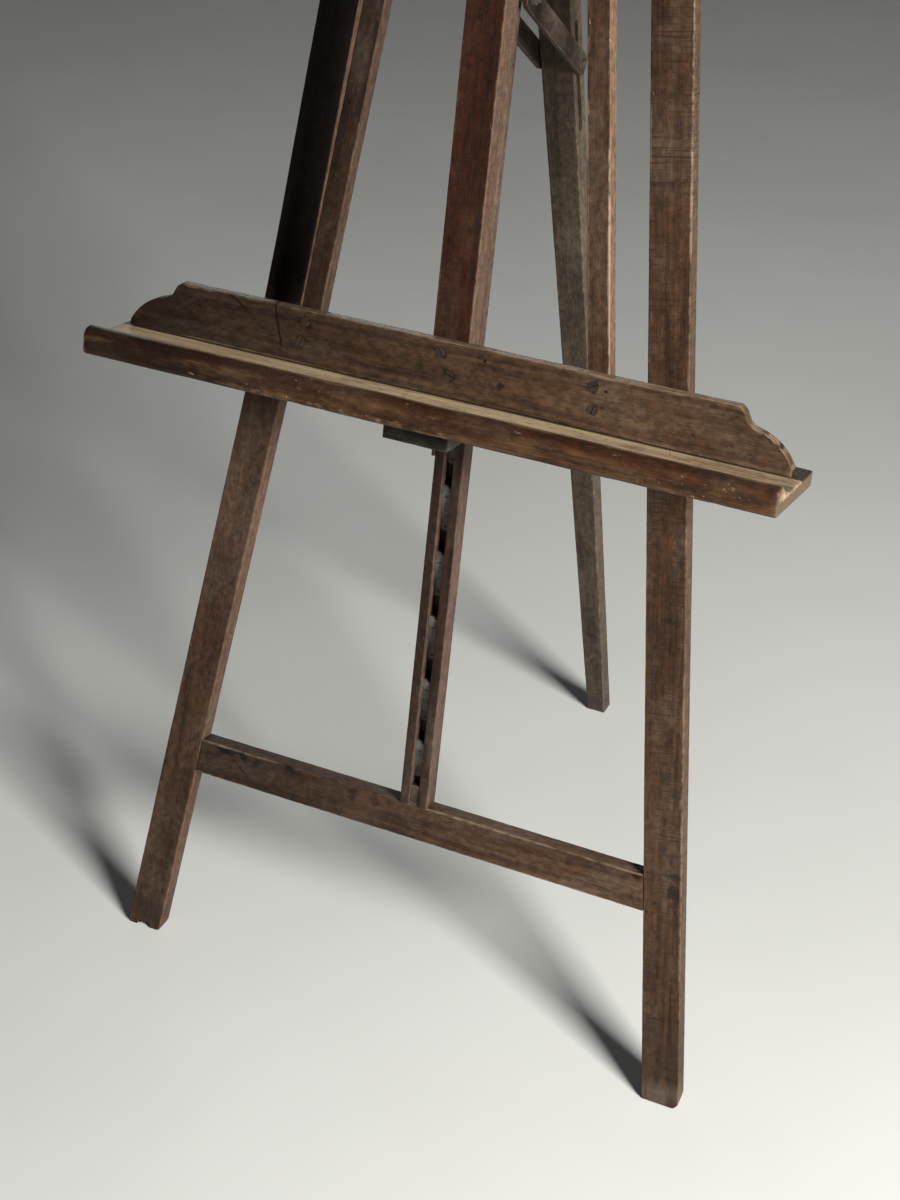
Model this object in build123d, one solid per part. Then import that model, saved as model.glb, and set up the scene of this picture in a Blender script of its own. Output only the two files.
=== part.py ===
from build123d import *
from math import atan2, cos, degrees, pi, radians, sin, tan
import os

# Studio easel. A leaning front frame carries a slotted mast with a metal-faced rack. A tray
# frame slides on the mast and hangs from a pawl. One rear leg is hinged to the front frame
# and held by a pair of stays whose pin runs in a slot of the leg.
#
# Row axes: X across (the viewer's right), -Y towards the viewer, Z up. Millimetres.
# Three leaning frames are used. In each one x runs across, y climbs along the lean and
# z points to the front:
#   leg_frame   front faces of the two front legs, starting on the floor
#   mast_frame  front faces of the two mast rails
#   rear_frame  front face of the rear leg, starting on the floor

# ---------------------------------------------------------------- driving dimensions
LEG_LEAN = 12.15            # front legs from upright, degrees
MAST_LEAN = 10.15           # mast from upright, degrees
REAR_LEAN = 16.26           # rear leg from upright, the other way, degrees

LEG_WIDTH = 40.0            # square across the face of a front leg
LEG_DEPTH = 20.0
LEG_SPLAY = 8.4             # each front leg from the middle line, degrees
LEG_TOP = 1850.0            # along the lean
FOOT_INNER = 290.4          # middle line to the inner edge of a foot
WARP = 16.0                 # the left leg is warped outward by this much, half way up its bend
WARP_START = 650.0          # the bend runs from here to the top

STRETCHER_LOW = 214.5       # along the lean
STRETCHER_HIGH = 254.5
TENON_LENGTH = 26.0
TENON_DEPTH = 10.0
TENON_SHOULDER = 7.5
PEG_RADIUS = 3.0

MAST_SET_BACK = 6.0         # mast foot behind the leg faces, measured at the floor
RAIL_INNER = 4.9            # middle line to a rail
RAIL_OUTER = 15.1
RAIL_DEPTH = 22.5
MAST_FOOT = 257.0
MAST_TOP = 1960.0

RACK_PITCH = 70.0
RACK_FIRST = 329.0          # lowest ledge of the rack
RACK_TEETH = 13
RACK_TIP = -2.5             # front edge of a ledge, behind the rail faces
RACK_ROOT = -15.5           # deepest point of the recess above a ledge
RACK_FOOT = 278.0
PLATE_THICKNESS = 1.2
PLATE_LENGTH = 50.0
PLATE_FOLD = 9.0

BOARD_HALF = 18.8           # centre board
BOARD_BACK = 0.4
BOARD_FRONT = 25.3
BOARD_BOTTOM = 678.0
BOARD_TOP = 1800.0
STRIP_INNER = 15.4          # guide strips beside the rails
STRIP_BACK = -6.0
LEFT_STRIP_BOTTOM = 637.0
RIGHT_STRIP_BOTTOM = 700.0

LEDGE_HALF = 346.0
LEDGE_BOTTOM = 695.3
LEDGE_SURFACE = 710.8
LIP_TOP = 722.5
LEDGE_BACK = 3.7
LEDGE_NOSE = 109.0
LEDGE_SKEW = 4.3            # the right end is cut a little out of square

BACKBOARD_HALF = 339.0
BACKBOARD_TOP = 764.3
BACKBOARD_THICK = 13.1

SLAT_INNER = 135.4          # middle line to a slat's inner edge, at SLAT_REFERENCE
SLAT_WIDTH = 21.2
SLAT_THICK = 17.5
SLAT_TAPER = 0.1353         # inward run for each unit climbed
SLAT_REFERENCE = 764.5

BLOCK_HALF = 33.0
BLOCK_BOTTOM = 677.0
BLOCK_FRONT = 89.0

PAWL_PIVOT_UP = 744.0
PAWL_PIVOT_FRONT = 6.5
PAWL_HALF = 4.3
PAWL_PIN_RADIUS = 2.5
RUNNING_GAP = 0.05          # radial clearance of every pin in a turning bore

CROSSBAR_LOW = 1200.0
CROSSBAR_HIGH = 1264.0
CROSSBAR_LEFT = 161.0       # middle line to each end
CROSSBAR_RIGHT = 144.0
HEAD_LOW = 1772.0
HEAD_HIGH = 1846.0
HEAD_HALF = 64.0

HINGE_UP = 1240.0           # height of the rear hinge pin along the leg frame
HINGE_OFFSET = 3.2          # pin centre from both leaf faces
HINGE_LEAF = 2.0
HINGE_KNUCKLE = 3.1
HINGE_PIN_RADIUS = 1.5

REAR_FOOT_HALF = 12.0
REAR_WIDENING = 0.0054      # growth of the half width for each unit climbed
REAR_FOOT_DEPTH = 20.9
REAR_DEEPENING = 0.0053
SLOT_LOW = 909.5
SLOT_HIGH = 1033.6
SLOT_WIDTH = 8.4
SLOT_BACK = 10.5            # slot's middle behind the front face

REAR_SHIFT = 2.4            # the rear leg and its stays sit this far right of the middle
STAY_PIVOT_UP = 1071.4      # on the mast
STAY_PIVOT_BACK = 17.0
STAY_PIN_UP = 986.0         # on the rear leg
STAY_INNER = 18.7           # from the leg's own middle line
STAY_OUTER = 23.9
STAY_HALF_WIDTH = 10.6
STAY_TAIL = 6.5
STAY_BOLT_RADIUS = 3.0
SLOT_PIN_RADIUS = 3.3

BIG_SCREW = (4.6, 2.2, 34.0)     # head radius, shank radius, length
SMALL_SCREW = (2.4, 1.2, 9.0)

# ---------------------------------------------------------------- derived positions
leg_sin = sin(radians(LEG_LEAN))
leg_cos = cos(radians(LEG_LEAN))
mast_sin = sin(radians(MAST_LEAN))
mast_cos = cos(radians(MAST_LEAN))
rear_sin = sin(radians(REAR_LEAN))
rear_cos = cos(radians(REAR_LEAN))
splay = tan(radians(LEG_SPLAY))
leg_across = LEG_WIDTH / cos(radians(LEG_SPLAY))

# The rear leg's front face runs HINGE_OFFSET behind the hinge pin and meets the floor here,
# counted back from the front edge of the front feet.
hinge_back = HINGE_UP * leg_sin + HINGE_OFFSET * leg_cos
hinge_height = HINGE_UP * leg_cos - HINGE_OFFSET * leg_sin
rear_foot = hinge_back + hinge_height * tan(radians(REAR_LEAN)) + HINGE_OFFSET / rear_cos
footprint = rear_foot + REAR_FOOT_DEPTH / rear_cos
front_edge = -footprint / 2


def leaning_frame(back, height, lean):
    """Frame with x across, y climbing along the lean and z to the front."""
    up_tilt = radians(lean)
    normal = (0, -cos(up_tilt), sin(up_tilt))
    return Plane(origin=(0, front_edge + back, height), x_dir=(1, 0, 0), z_dir=normal).location


leg_frame = leaning_frame(0, 0, LEG_LEAN)
mast_frame = leaning_frame(MAST_SET_BACK * leg_cos, -MAST_SET_BACK * leg_sin, MAST_LEAN)
rear_frame = Pos(REAR_SHIFT, 0, 0) * leaning_frame(rear_foot, 0, -REAR_LEAN)

# ---------------------------------------------------------------- drawing helpers


def front_outline(points, front, back):
    """Solid from (across, up) points, between two distances to the front."""
    middle = (front + back) / 2
    face = Polygon(*points, align=None)
    return Pos(0, 0, middle) * extrude(face, amount=(front - back) / 2, both=True)


def side_outline(sketch, low, high):
    """Solid from an (up, front) sketch, between two distances across."""
    middle = (low + high) / 2
    return Pos(middle, 0, 0) * extrude(Plane.YZ * sketch, amount=(high - low) / 2, both=True)


def side_polygon(points, low, high):
    return side_outline(Polygon(*points, align=None), low, high)


def block(x_range, y_range, z_range):
    size = [high - low for low, high in (x_range, y_range, z_range)]
    middle = [(high + low) / 2 for low, high in (x_range, y_range, z_range)]
    return Pos(*middle) * Box(*size)


def round_corner(sketch, corner, radius):
    """Rounds the corner of a flat outline that lies nearest to the given point."""
    nearest = min(sketch.vertices(), key=lambda v: (v.center() - Vector(*corner)).length)
    return fillet(nearest, radius)


def ease_long_edges(solid, count, size):
    """Takes the sharpness off the longest edges of a bar."""
    return chamfer(solid.edges().sort_by(SortBy.LENGTH)[-count:], size)


def cross_pin(radius, low, high, up, front):
    """Round bar along x."""
    bar = Cylinder(radius, high - low)
    return Pos((low + high) / 2, up, front) * Rot(0, 90, 0) * bar


def wood_screw(kind, slotted):
    """Countersunk screw, head flush with z = 0, point down."""
    head_radius, shank_radius, length = kind
    flush = (Align.CENTER, Align.CENTER, Align.MAX)
    sink = head_radius - shank_radius
    head = Cone(shank_radius, head_radius, sink, align=flush)
    shank = Cylinder(shank_radius, length, align=flush)
    body = head + shank
    if slotted:
        body -= Box(3 * head_radius, 0.2 * head_radius, 0.3 * head_radius, align=flush)
    return body


def driven(kind, place, turn=0.0, slotted=True):
    return place * Rot(0, 0, turn) * wood_screw(kind, slotted)


def facing_front(across, up, front):
    return Pos(across, up, front)


def facing_back(across, up, front):
    return Pos(across, up, front) * Rot(180, 0, 0)


def facing_down(across, up, front):
    return Pos(across, up, front) * Rot(90, 0, 0)


def drill(solid, kind, places):
    """Cuts the seat of each screw."""
    for place in places:
        solid -= driven(kind, place, slotted=False)
    return solid


def screw_group(kind, places):
    return [driven(kind, place, turn=23.0 + 47.0 * n) for n, place in enumerate(places)]


below_floor = block((-900, 900), (-900, 900), (-200, 0))


def save(name, solids, frame=Location()):
    group = solids if isinstance(solids, list) else [solids]
    placed = [frame * solid for solid in group]
    whole = placed[0] if len(placed) == 1 else Compound(children=placed)
    whole.label = name
    export_step(whole, os.path.join("parts", name + ".step"))


os.makedirs("parts", exist_ok=True)

# ---------------------------------------------------------------- bottom stretcher


def leg_inner(up):
    return FOOT_INNER - splay * up


stretcher = front_outline(
    [
        (-leg_inner(STRETCHER_LOW), STRETCHER_LOW),
        (leg_inner(STRETCHER_LOW), STRETCHER_LOW),
        (leg_inner(STRETCHER_HIGH), STRETCHER_HIGH),
        (-leg_inner(STRETCHER_HIGH), STRETCHER_HIGH),
    ],
    0,
    -LEG_DEPTH,
)
stretcher_middle = (STRETCHER_LOW + STRETCHER_HIGH) / 2
tenon_end = leg_inner(stretcher_middle) + TENON_LENGTH
tenon_front = -(LEG_DEPTH - TENON_DEPTH) / 2
stretcher += block(
    (-tenon_end, tenon_end),
    (STRETCHER_LOW + TENON_SHOULDER, STRETCHER_HIGH - TENON_SHOULDER),
    (tenon_front - TENON_DEPTH, tenon_front),
)
pegs = []
for side in (-1, 1):
    for rise in (-6.0, 6.0):
        across = side * (leg_inner(stretcher_middle + rise) + 12)
        peg = Pos(across, stretcher_middle + rise, -LEG_DEPTH / 2) * Cylinder(PEG_RADIUS, LEG_DEPTH)
        pegs.append(peg)

# ---------------------------------------------------------------- crossbar and head block
# Both fill the wedge between the leg faces and the back of the mast.


def mast_point(up, front):
    """A mast-frame point, as (up, front) in the leg frame."""
    turn = radians(LEG_LEAN - MAST_LEAN)
    along = up * cos(turn) + front * sin(-turn)
    out = -MAST_SET_BACK + up * sin(turn) + front * cos(turn)
    return (along, out)


def packing_piece(low, high, left, right):
    corners = [(low, 0), (high, 0), mast_point(high, -RAIL_DEPTH), mast_point(low, -RAIL_DEPTH)]
    return side_polygon(corners, -left, right)


def packing_front(up):
    """Distance from the leg faces to the back of the mast."""
    return mast_point(up, -RAIL_DEPTH)[1]


crossbar = packing_piece(CROSSBAR_LOW, CROSSBAR_HIGH, CROSSBAR_LEFT, CROSSBAR_RIGHT)
head_block = packing_piece(HEAD_LOW, HEAD_HIGH, HEAD_HALF, HEAD_HALF)


def leg_bend(side, up):
    """How far a front leg stands outside its straight line."""
    if side > 0 or up < WARP_START:
        return 0.0
    return WARP * sin(pi * (up - WARP_START) / (LEG_TOP - WARP_START)) ** 2


def leg_middle(side, up):
    return side * (leg_inner(up) + leg_across / 2 + leg_bend(side, up))


frame_screw_places = []
for side in (-1, 1):
    for up in (CROSSBAR_LOW + 14, CROSSBAR_HIGH - 14, HEAD_LOW + 16, HEAD_HIGH - 18):
        frame_screw_places.append(facing_back(leg_middle(side, up), up, -LEG_DEPTH))
mast_screw_places = []
for up in (CROSSBAR_HIGH - 12, HEAD_LOW + 18, HEAD_HIGH - 18):
    for side in (-1, 1):
        mast_screw_places.append(facing_back(side * 10.0, up, 0))

# The legs' crossbar screws would come out of the thin bar, so they are the short kind.
SHORT_SCREW = (4.2, 2.0, 30.0)
MAST_SCREW = (3.4, 1.7, 26.0)
crossbar = drill(crossbar, SHORT_SCREW, frame_screw_places)
head_block = drill(head_block, SHORT_SCREW, frame_screw_places)
crossbar = drill(crossbar, MAST_SCREW, mast_screw_places)
head_block = drill(head_block, MAST_SCREW, mast_screw_places)

# ---------------------------------------------------------------- front legs


def front_leg(side):
    foot = -60.0
    stations = [WARP_START + (LEG_TOP - WARP_START) * n / 12 for n in range(13)]

    def edge(offset):
        """One long edge: straight from the floor, then the bend."""

        def at(up):
            return (leg_middle(side, up) + side * offset, up)

        run = (at(WARP_START)[0] - at(foot)[0], WARP_START - foot)
        bend = Spline(*[at(up) for up in stations], tangents=(run, run))
        return [Line(at(foot), at(WARP_START)), bend]

    inner = edge(-leg_across / 2)
    outer = edge(leg_across / 2)
    low_end = Line(inner[0] @ 0, outer[0] @ 0)
    high_end = Line(inner[1] @ 1, outer[1] @ 1)
    face = make_face(Curve() + inner + outer + [low_end, high_end])
    leg = Pos(0, 0, -LEG_DEPTH / 2) * extrude(face, amount=LEG_DEPTH / 2, both=True)
    leg = ease_long_edges(leg, 8, 0.8)
    leg -= stretcher
    for peg in pegs:
        leg -= peg
    leg = drill(leg, SHORT_SCREW, frame_screw_places)
    return leg_frame * leg - below_floor


save("left_leg", front_leg(-1))
save("right_leg", front_leg(1))

# ---------------------------------------------------------------- mast
# Two rails with the rack between them. The filler at the foot has a tenon in the stretcher.
mast_to_leg = leg_frame.inverse() * mast_frame

foot_filler = block((-RAIL_INNER, RAIL_INNER), (MAST_FOOT, RACK_FOOT), (-RAIL_DEPTH, -1.5))
foot_filler += block((-RAIL_INNER, RAIL_INNER), (MAST_FOOT - 20, MAST_FOOT), (-16, -8))

rack_points = [(RACK_FOOT, -RAIL_DEPTH), (RACK_FOOT, RACK_TIP - 8.0)]
rack_slope = (RACK_TIP - RACK_ROOT) / RACK_PITCH
for tooth in range(RACK_TEETH):
    ledge_up = RACK_FIRST + RACK_PITCH * tooth - PLATE_THICKNESS
    face_in = RACK_TIP - PLATE_THICKNESS
    rack_points.append((ledge_up, face_in))
    rack_points.append((ledge_up, RACK_ROOT))
rack_end = RACK_FIRST + RACK_PITCH * (RACK_TEETH - 1) + 30.0
rack_points.append((rack_end, RACK_ROOT + 30.0 * rack_slope))
rack_points.append((rack_end, -RAIL_DEPTH))
rack = side_polygon(rack_points, -RAIL_INNER, RAIL_INNER)

plates = []
plate_screw_places = []
face_top = RACK_TIP - PLATE_THICKNESS
for tooth in range(RACK_TEETH):
    ledge_up = RACK_FIRST + RACK_PITCH * tooth
    wood_up = ledge_up - PLATE_THICKNESS
    if tooth == 0:
        slope = (face_top - (RACK_TIP - 8.0)) / (wood_up - RACK_FOOT)
    else:
        slope = (face_top - RACK_ROOT) / RACK_PITCH
    reach = PLATE_LENGTH - 2.0
    low_in = face_top - slope * reach
    corners = [
        (wood_up, face_top),
        (wood_up - reach, low_in),
        (wood_up - reach, low_in + PLATE_THICKNESS),
        (wood_up - 0.8, RACK_TIP),
        (ledge_up, RACK_TIP - 1.6),
        (ledge_up, RACK_TIP - PLATE_FOLD),
        (wood_up, RACK_TIP - PLATE_FOLD),
    ]
    plates.append(side_polygon(corners, -RAIL_INNER + 0.2, RAIL_INNER - 0.2))
    tilt = Rot(-slope * 57.3, 0, 0)
    for drop in (9.0, 42.0):
        spot = Pos(0, wood_up - drop, face_top - slope * drop + PLATE_THICKNESS - 0.1)
        plate_screw_places.append(spot * tilt)
plate_screws = screw_group(SMALL_SCREW, plate_screw_places)
plates = [
    drill(plate, SMALL_SCREW, plate_screw_places[2 * n : 2 * n + 2]) for n, plate in enumerate(plates)
]
rack = drill(rack, SMALL_SCREW, plate_screw_places)

stay_bolt_hole = cross_pin(STAY_BOLT_RADIUS, -60, 60, STAY_PIVOT_UP, -STAY_PIVOT_BACK)
rack -= stay_bolt_hole
top_spacer = block((-RAIL_INNER, RAIL_INNER), (rack_end, MAST_TOP), (-RAIL_DEPTH, -2.0))


def mast_rail(side):
    ends = sorted((side * RAIL_INNER, side * RAIL_OUTER))
    rail = block(ends, (MAST_FOOT, MAST_TOP), (-RAIL_DEPTH, 0))
    rail = ease_long_edges(rail, 4, 0.5)
    rail -= stay_bolt_hole
    return drill(mast_to_leg * rail, MAST_SCREW, mast_screw_places)


# The rails stand on the stretcher, whose top is square to the leg frame: trim them to it.
under_mast = block((-60, 60), (100, STRETCHER_HIGH), (-60, 60))
save("left_rail", mast_rail(-1) - under_mast, leg_frame)
save("right_rail", mast_rail(1) - under_mast, leg_frame)
save("rack_strip", rack, mast_frame)
save("rack_plates", plates, mast_frame)
save("rack_plate_screws", plate_screws, mast_frame)
save("mast_top_spacer", top_spacer, mast_frame)

tenon_slot = block((-RAIL_INNER, RAIL_INNER), (MAST_FOOT - 20, MAST_FOOT + 5), (-16, -8))
stretcher -= mast_to_leg * tenon_slot
foot_in_legs = mast_to_leg * foot_filler
filler_body = foot_in_legs - under_mast
filler_tenon = foot_in_legs & (mast_to_leg * tenon_slot)
save("mast_foot_filler", filler_body + filler_tenon, leg_frame)
for peg in pegs:
    stretcher -= peg
save("bottom_stretcher", stretcher, leg_frame)
save("stretcher_pegs", pegs, leg_frame)
save("head_block", head_block, leg_frame)
save("leg_screws", screw_group(SHORT_SCREW, frame_screw_places), leg_frame)
save("mast_screws", screw_group(MAST_SCREW, mast_screw_places), leg_frame)

# ---------------------------------------------------------------- rear hinge
# One leaf lies on the back of the crossbar and one on the front face of the rear leg.
knuckle_outer = 17.0
knuckle_inner = 6.8
leaf_gap = 0.2
leaf_drop = 30.0


frame_leaf = block(
    (-knuckle_outer, knuckle_outer),
    (HINGE_UP - leaf_drop, HINGE_UP - 4.0),
    (-HINGE_LEAF, 0),
)
for side in (-1, 1):
    span = sorted((side * (knuckle_inner + leaf_gap), side * knuckle_outer))
    frame_leaf += cross_pin(HINGE_KNUCKLE, span[0], span[1], HINGE_UP, -HINGE_OFFSET)
    frame_leaf += block(span, (HINGE_UP - 4.5, HINGE_UP), (-HINGE_LEAF, 0))
frame_leaf -= cross_pin(HINGE_PIN_RADIUS, -40, 40, HINGE_UP, -HINGE_OFFSET)
frame_leaf = Pos(REAR_SHIFT, 0, 0) * frame_leaf
frame_leaf_places = [
    facing_back(REAR_SHIFT + side * 10.5, HINGE_UP - 18.0, -HINGE_LEAF) for side in (-1, 1)
]
HINGE_SCREW = (2.8, 1.4, 12.0)
frame_leaf = drill(frame_leaf, HINGE_SCREW, frame_leaf_places)
crossbar = drill(crossbar, HINGE_SCREW, frame_leaf_places)
save("hinge_leaf_frame", frame_leaf, leg_frame)
save("hinge_screws_frame", screw_group(HINGE_SCREW, frame_leaf_places), leg_frame)
save("hinge_crossbar", crossbar, leg_frame)
pin_ends = (REAR_SHIFT - 18.5, REAR_SHIFT + 18.5)
pin = cross_pin(HINGE_PIN_RADIUS, pin_ends[0], pin_ends[1], HINGE_UP, -HINGE_OFFSET)
save("hinge_pin", pin, leg_frame)

# The pin in the rear leg's own frame.
hinge_along = -(hinge_back - rear_foot) * rear_sin + hinge_height * rear_cos

leg_leaf = block(
    (-knuckle_outer, knuckle_outer),
    (hinge_along - leaf_drop, hinge_along - 4.0),
    (0, HINGE_LEAF),
)
leg_leaf += cross_pin(HINGE_KNUCKLE, -knuckle_inner, knuckle_inner, hinge_along, HINGE_OFFSET)
leg_leaf += block((-knuckle_inner, knuckle_inner), (hinge_along - 4.5, hinge_along), (0, HINGE_LEAF))
leg_leaf -= cross_pin(HINGE_PIN_RADIUS + RUNNING_GAP, -40, 40, hinge_along, HINGE_OFFSET)
leg_leaf_places = [facing_front(side * 10.5, hinge_along - 18.0, HINGE_LEAF) for side in (-1, 1)]
leg_leaf = drill(leg_leaf, HINGE_SCREW, leg_leaf_places)
save("hinge_leaf_leg", leg_leaf, rear_frame)
save("hinge_screws_leg", screw_group(HINGE_SCREW, leg_leaf_places), rear_frame)

# ---------------------------------------------------------------- rear leg
rear_top = hinge_along - 1.0
rear_low = -40.0


def rear_half(up):
    return REAR_FOOT_HALF + REAR_WIDENING * up


def rear_depth(up):
    return REAR_FOOT_DEPTH + REAR_DEEPENING * up


rear = front_outline(
    [
        (-rear_half(rear_low), rear_low),
        (rear_half(rear_low), rear_low),
        (rear_half(rear_top), rear_top),
        (-rear_half(rear_top), rear_top),
    ],
    0,
    -60,
)
rear &= side_polygon(
    [
        (rear_low, 0),
        (rear_top, 0),
        (rear_top, -rear_depth(rear_top)),
        (rear_low, -rear_depth(rear_low)),
    ],
    -100,
    100,
)
rear = ease_long_edges(rear, 4, 0.8)
slot = Pos((SLOT_LOW + SLOT_HIGH) / 2, -SLOT_BACK) * SlotOverall(SLOT_HIGH - SLOT_LOW, SLOT_WIDTH)
rear -= side_outline(slot, -60, 60)
rear = drill(rear, HINGE_SCREW, leg_leaf_places)
save("rear_leg", rear_frame * rear - below_floor)

# ---------------------------------------------------------------- stays
# A stay turns on the mast bolt. Its other end carries the pin that runs in the leg's slot.
rear_to_mast = mast_frame.inverse() * rear_frame
pin_in_mast = (rear_to_mast * Pos(0, STAY_PIN_UP, -SLOT_BACK)).position
run_up = pin_in_mast.Y - STAY_PIVOT_UP
run_front = pin_in_mast.Z + STAY_PIVOT_BACK
stay_length = (run_up**2 + run_front**2) ** 0.5
stay_middle = (stay_length + STAY_TAIL) / 2
stay_flat = Pos(stay_middle, 0) * Rectangle(2 * stay_middle, 2 * STAY_HALF_WIDTH)
stay_end = stay_length + STAY_TAIL
stay_flat = round_corner(stay_flat, (stay_end, STAY_HALF_WIDTH), 7.0)
stay_flat = round_corner(stay_flat, (stay_end, -STAY_HALF_WIDTH), 3.0)
stay_flat += Circle(STAY_HALF_WIDTH)
stay_flat -= Circle(STAY_BOLT_RADIUS + RUNNING_GAP)
stay_flat -= Pos(stay_length, 0) * Circle(SLOT_PIN_RADIUS)
stay_turn = degrees(atan2(run_front, run_up))
stay_flat = Pos(STAY_PIVOT_UP, -STAY_PIVOT_BACK) * Rot(0, 0, stay_turn) * stay_flat
left_faces = (REAR_SHIFT - STAY_OUTER, REAR_SHIFT - STAY_INNER)
right_faces = (REAR_SHIFT + STAY_INNER, REAR_SHIFT + STAY_OUTER)
save("left_stay", side_outline(stay_flat, left_faces[0], left_faces[1]), mast_frame)
save("right_stay", side_outline(stay_flat, right_faces[0], right_faces[1]), mast_frame)
pin_place = (pin_in_mast.Y, pin_in_mast.Z)
slot_pin = cross_pin(SLOT_PIN_RADIUS, left_faces[0], right_faces[1], pin_place[0], pin_place[1])
save("slot_pin", slot_pin, mast_frame)

bolt_left = left_faces[0] - 0.5
bolt_right = right_faces[1] + 0.5
bolt = cross_pin(STAY_BOLT_RADIUS, bolt_left, bolt_right + 8.0, STAY_PIVOT_UP, -STAY_PIVOT_BACK)
bolt_head = Cylinder(6.5, 2.6) - Pos(0, 0, -1.3) * Box(14, 1.4, 1.6)
bolt += Pos(bolt_left - 1.3, STAY_PIVOT_UP, -STAY_PIVOT_BACK) * Rot(0, 90, 0) * bolt_head
save("stay_bolt", bolt, mast_frame)
nut = extrude(RegularPolygon(5.8, 6), amount=2.4, both=True) - Cylinder(STAY_BOLT_RADIUS, 20)
nut = Pos(bolt_right + 2.4, STAY_PIVOT_UP, -STAY_PIVOT_BACK) * Rot(0, 90, 0) * nut
save("stay_nut", nut, mast_frame)
sleeves = []
for span in ((left_faces[1] + 0.2, -RAIL_OUTER), (RAIL_OUTER, right_faces[0] - 0.2)):
    sleeve = cross_pin(4.4, span[0], span[1], STAY_PIVOT_UP, -STAY_PIVOT_BACK)
    sleeves.append(sleeve - stay_bolt_hole)
save("stay_sleeves", sleeves, mast_frame)

# ---------------------------------------------------------------- tray frame: ledge
ledge_sketch = Polygon(
    (LEDGE_BOTTOM, LEDGE_BACK),
    (LEDGE_BOTTOM, LEDGE_NOSE),
    (LIP_TOP, LEDGE_NOSE),
    (LIP_TOP, LEDGE_NOSE - 13.0),
    (LEDGE_SURFACE, LEDGE_NOSE - 24.0),
    (LEDGE_SURFACE, LEDGE_BACK),
    align=None,
)
ledge_sketch = round_corner(ledge_sketch, (LEDGE_BOTTOM, LEDGE_NOSE), 6.0)
ledge_sketch = round_corner(ledge_sketch, (LIP_TOP, LEDGE_NOSE), 9.0)
ledge_sketch = round_corner(ledge_sketch, (LIP_TOP, LEDGE_NOSE - 13.0), 2.5)
ledge_sketch = round_corner(ledge_sketch, (LEDGE_SURFACE, LEDGE_NOSE - 24.0), 8.0)
ledge = side_outline(ledge_sketch, -LEDGE_HALF, LEDGE_HALF + LEDGE_SKEW)
board_notch = block((-BOARD_HALF, BOARD_HALF), (600, 730), (0, BOARD_FRONT))
ledge -= board_notch
skewed_end = Polygon(
    (LEDGE_HALF, LEDGE_NOSE),
    (LEDGE_HALF + LEDGE_SKEW, LEDGE_BACK),
    (LEDGE_HALF + LEDGE_SKEW, LEDGE_NOSE),
    align=None,
)
skewed_end = Rot(90, 0, 0) * skewed_end
ledge -= Pos(0, LEDGE_SURFACE, 0) * extrude(skewed_end, amount=40, both=True)

ledge_screw_places = []
for side in (-1, 1):
    slat_across = side * (SLAT_INNER + SLAT_WIDTH / 2 + 6.5)
    ledge_screw_places.append(facing_down(slat_across, LEDGE_BOTTOM, BOARD_FRONT - SLAT_THICK / 2))
    ledge_screw_places.append(facing_down(side * 290.0, LEDGE_BOTTOM, BOARD_FRONT + 6.5))
LEDGE_SCREW = (3.6, 1.7, 32.0)
ledge = drill(ledge, LEDGE_SCREW, ledge_screw_places)

ledge_block = block((-BLOCK_HALF, BLOCK_HALF), (BLOCK_BOTTOM, LEDGE_BOTTOM), (BOARD_FRONT, BLOCK_FRONT))
block_screw_places = [facing_down(side * 20.0, BLOCK_BOTTOM, 60.0) for side in (-1, 1)]
BLOCK_SCREW = (4.0, 1.9, 29.0)
ledge_block = drill(ledge_block, BLOCK_SCREW, block_screw_places)
ledge = drill(ledge, BLOCK_SCREW, block_screw_places)

# ---------------------------------------------------------------- tray frame: backboard
# Each end sweeps down in an S: a hollow below the top corner, then a round shoulder.
END_SHIFT = {-1: 2.3, 1: 0.0}    # the left end is cut slightly shorter


def shaped_end(side):
    """The S of one end, from the top corner to the ledge."""

    def at(inward, up):
        return (side * (BACKBOARD_HALF - END_SHIFT[side] - inward), up)

    top = at(53.0, BACKBOARD_TOP)
    nick = at(50.0, BACKBOARD_TOP - 5.0)
    waist = at(36.5, 746.2)
    shoulder = at(0.0, LEDGE_SURFACE + 6.5)
    base = at(0.0, LEDGE_SURFACE)
    return [
        Line(top, nick),
        ThreePointArc(nick, at(45.8, 751.1), waist),
        ThreePointArc(waist, at(12.8, 734.0), shoulder),
        Line(shoulder, base),
    ]


left_end = shaped_end(-1)
right_end = shaped_end(1)
top_edge = Line(left_end[0] @ 0, right_end[0] @ 0)
low_edge = Line(left_end[3] @ 1, right_end[3] @ 1)
board_face = make_face(Curve() + left_end + right_end + [top_edge, low_edge])
backboard = Pos(0, 0, BOARD_FRONT + BACKBOARD_THICK / 2) * extrude(
    board_face, amount=BACKBOARD_THICK / 2, both=True
)

backboard_front = BOARD_FRONT + BACKBOARD_THICK
backboard_screw_places = [
    facing_front(-145.0, 753.5, backboard_front),
    facing_front(-148.5, 733.5, backboard_front),
    facing_front(-4.0, 753.0, backboard_front),
    facing_front(6.5, 733.0, backboard_front),
    facing_front(147.0, 753.0, backboard_front),
    facing_front(149.0, 731.0, backboard_front),
]
BOARD_SCREW = (4.9, 2.2, 26.0)

# ---------------------------------------------------------------- tray frame: centre board
centre_board = block((-BOARD_HALF, BOARD_HALF), (BOARD_BOTTOM, BOARD_TOP), (BOARD_BACK, BOARD_FRONT))
centre_board = ease_long_edges(centre_board, 4, 0.8)
centre_board -= block((-5.2, 5.2), (600, 757), (-5, 60))
centre_board -= cross_pin(PAWL_PIN_RADIUS, -40, 40, PAWL_PIVOT_UP, PAWL_PIVOT_FRONT)


def guide_strip(side, bottom):
    span = sorted((side * STRIP_INNER, side * BOARD_HALF))
    return block(span, (bottom, BOARD_TOP - 10), (STRIP_BACK, BOARD_BACK))


# ---------------------------------------------------------------- tray frame: slats
# A slat stands on the ledge and leans in until its end lies along the centre board.


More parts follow.
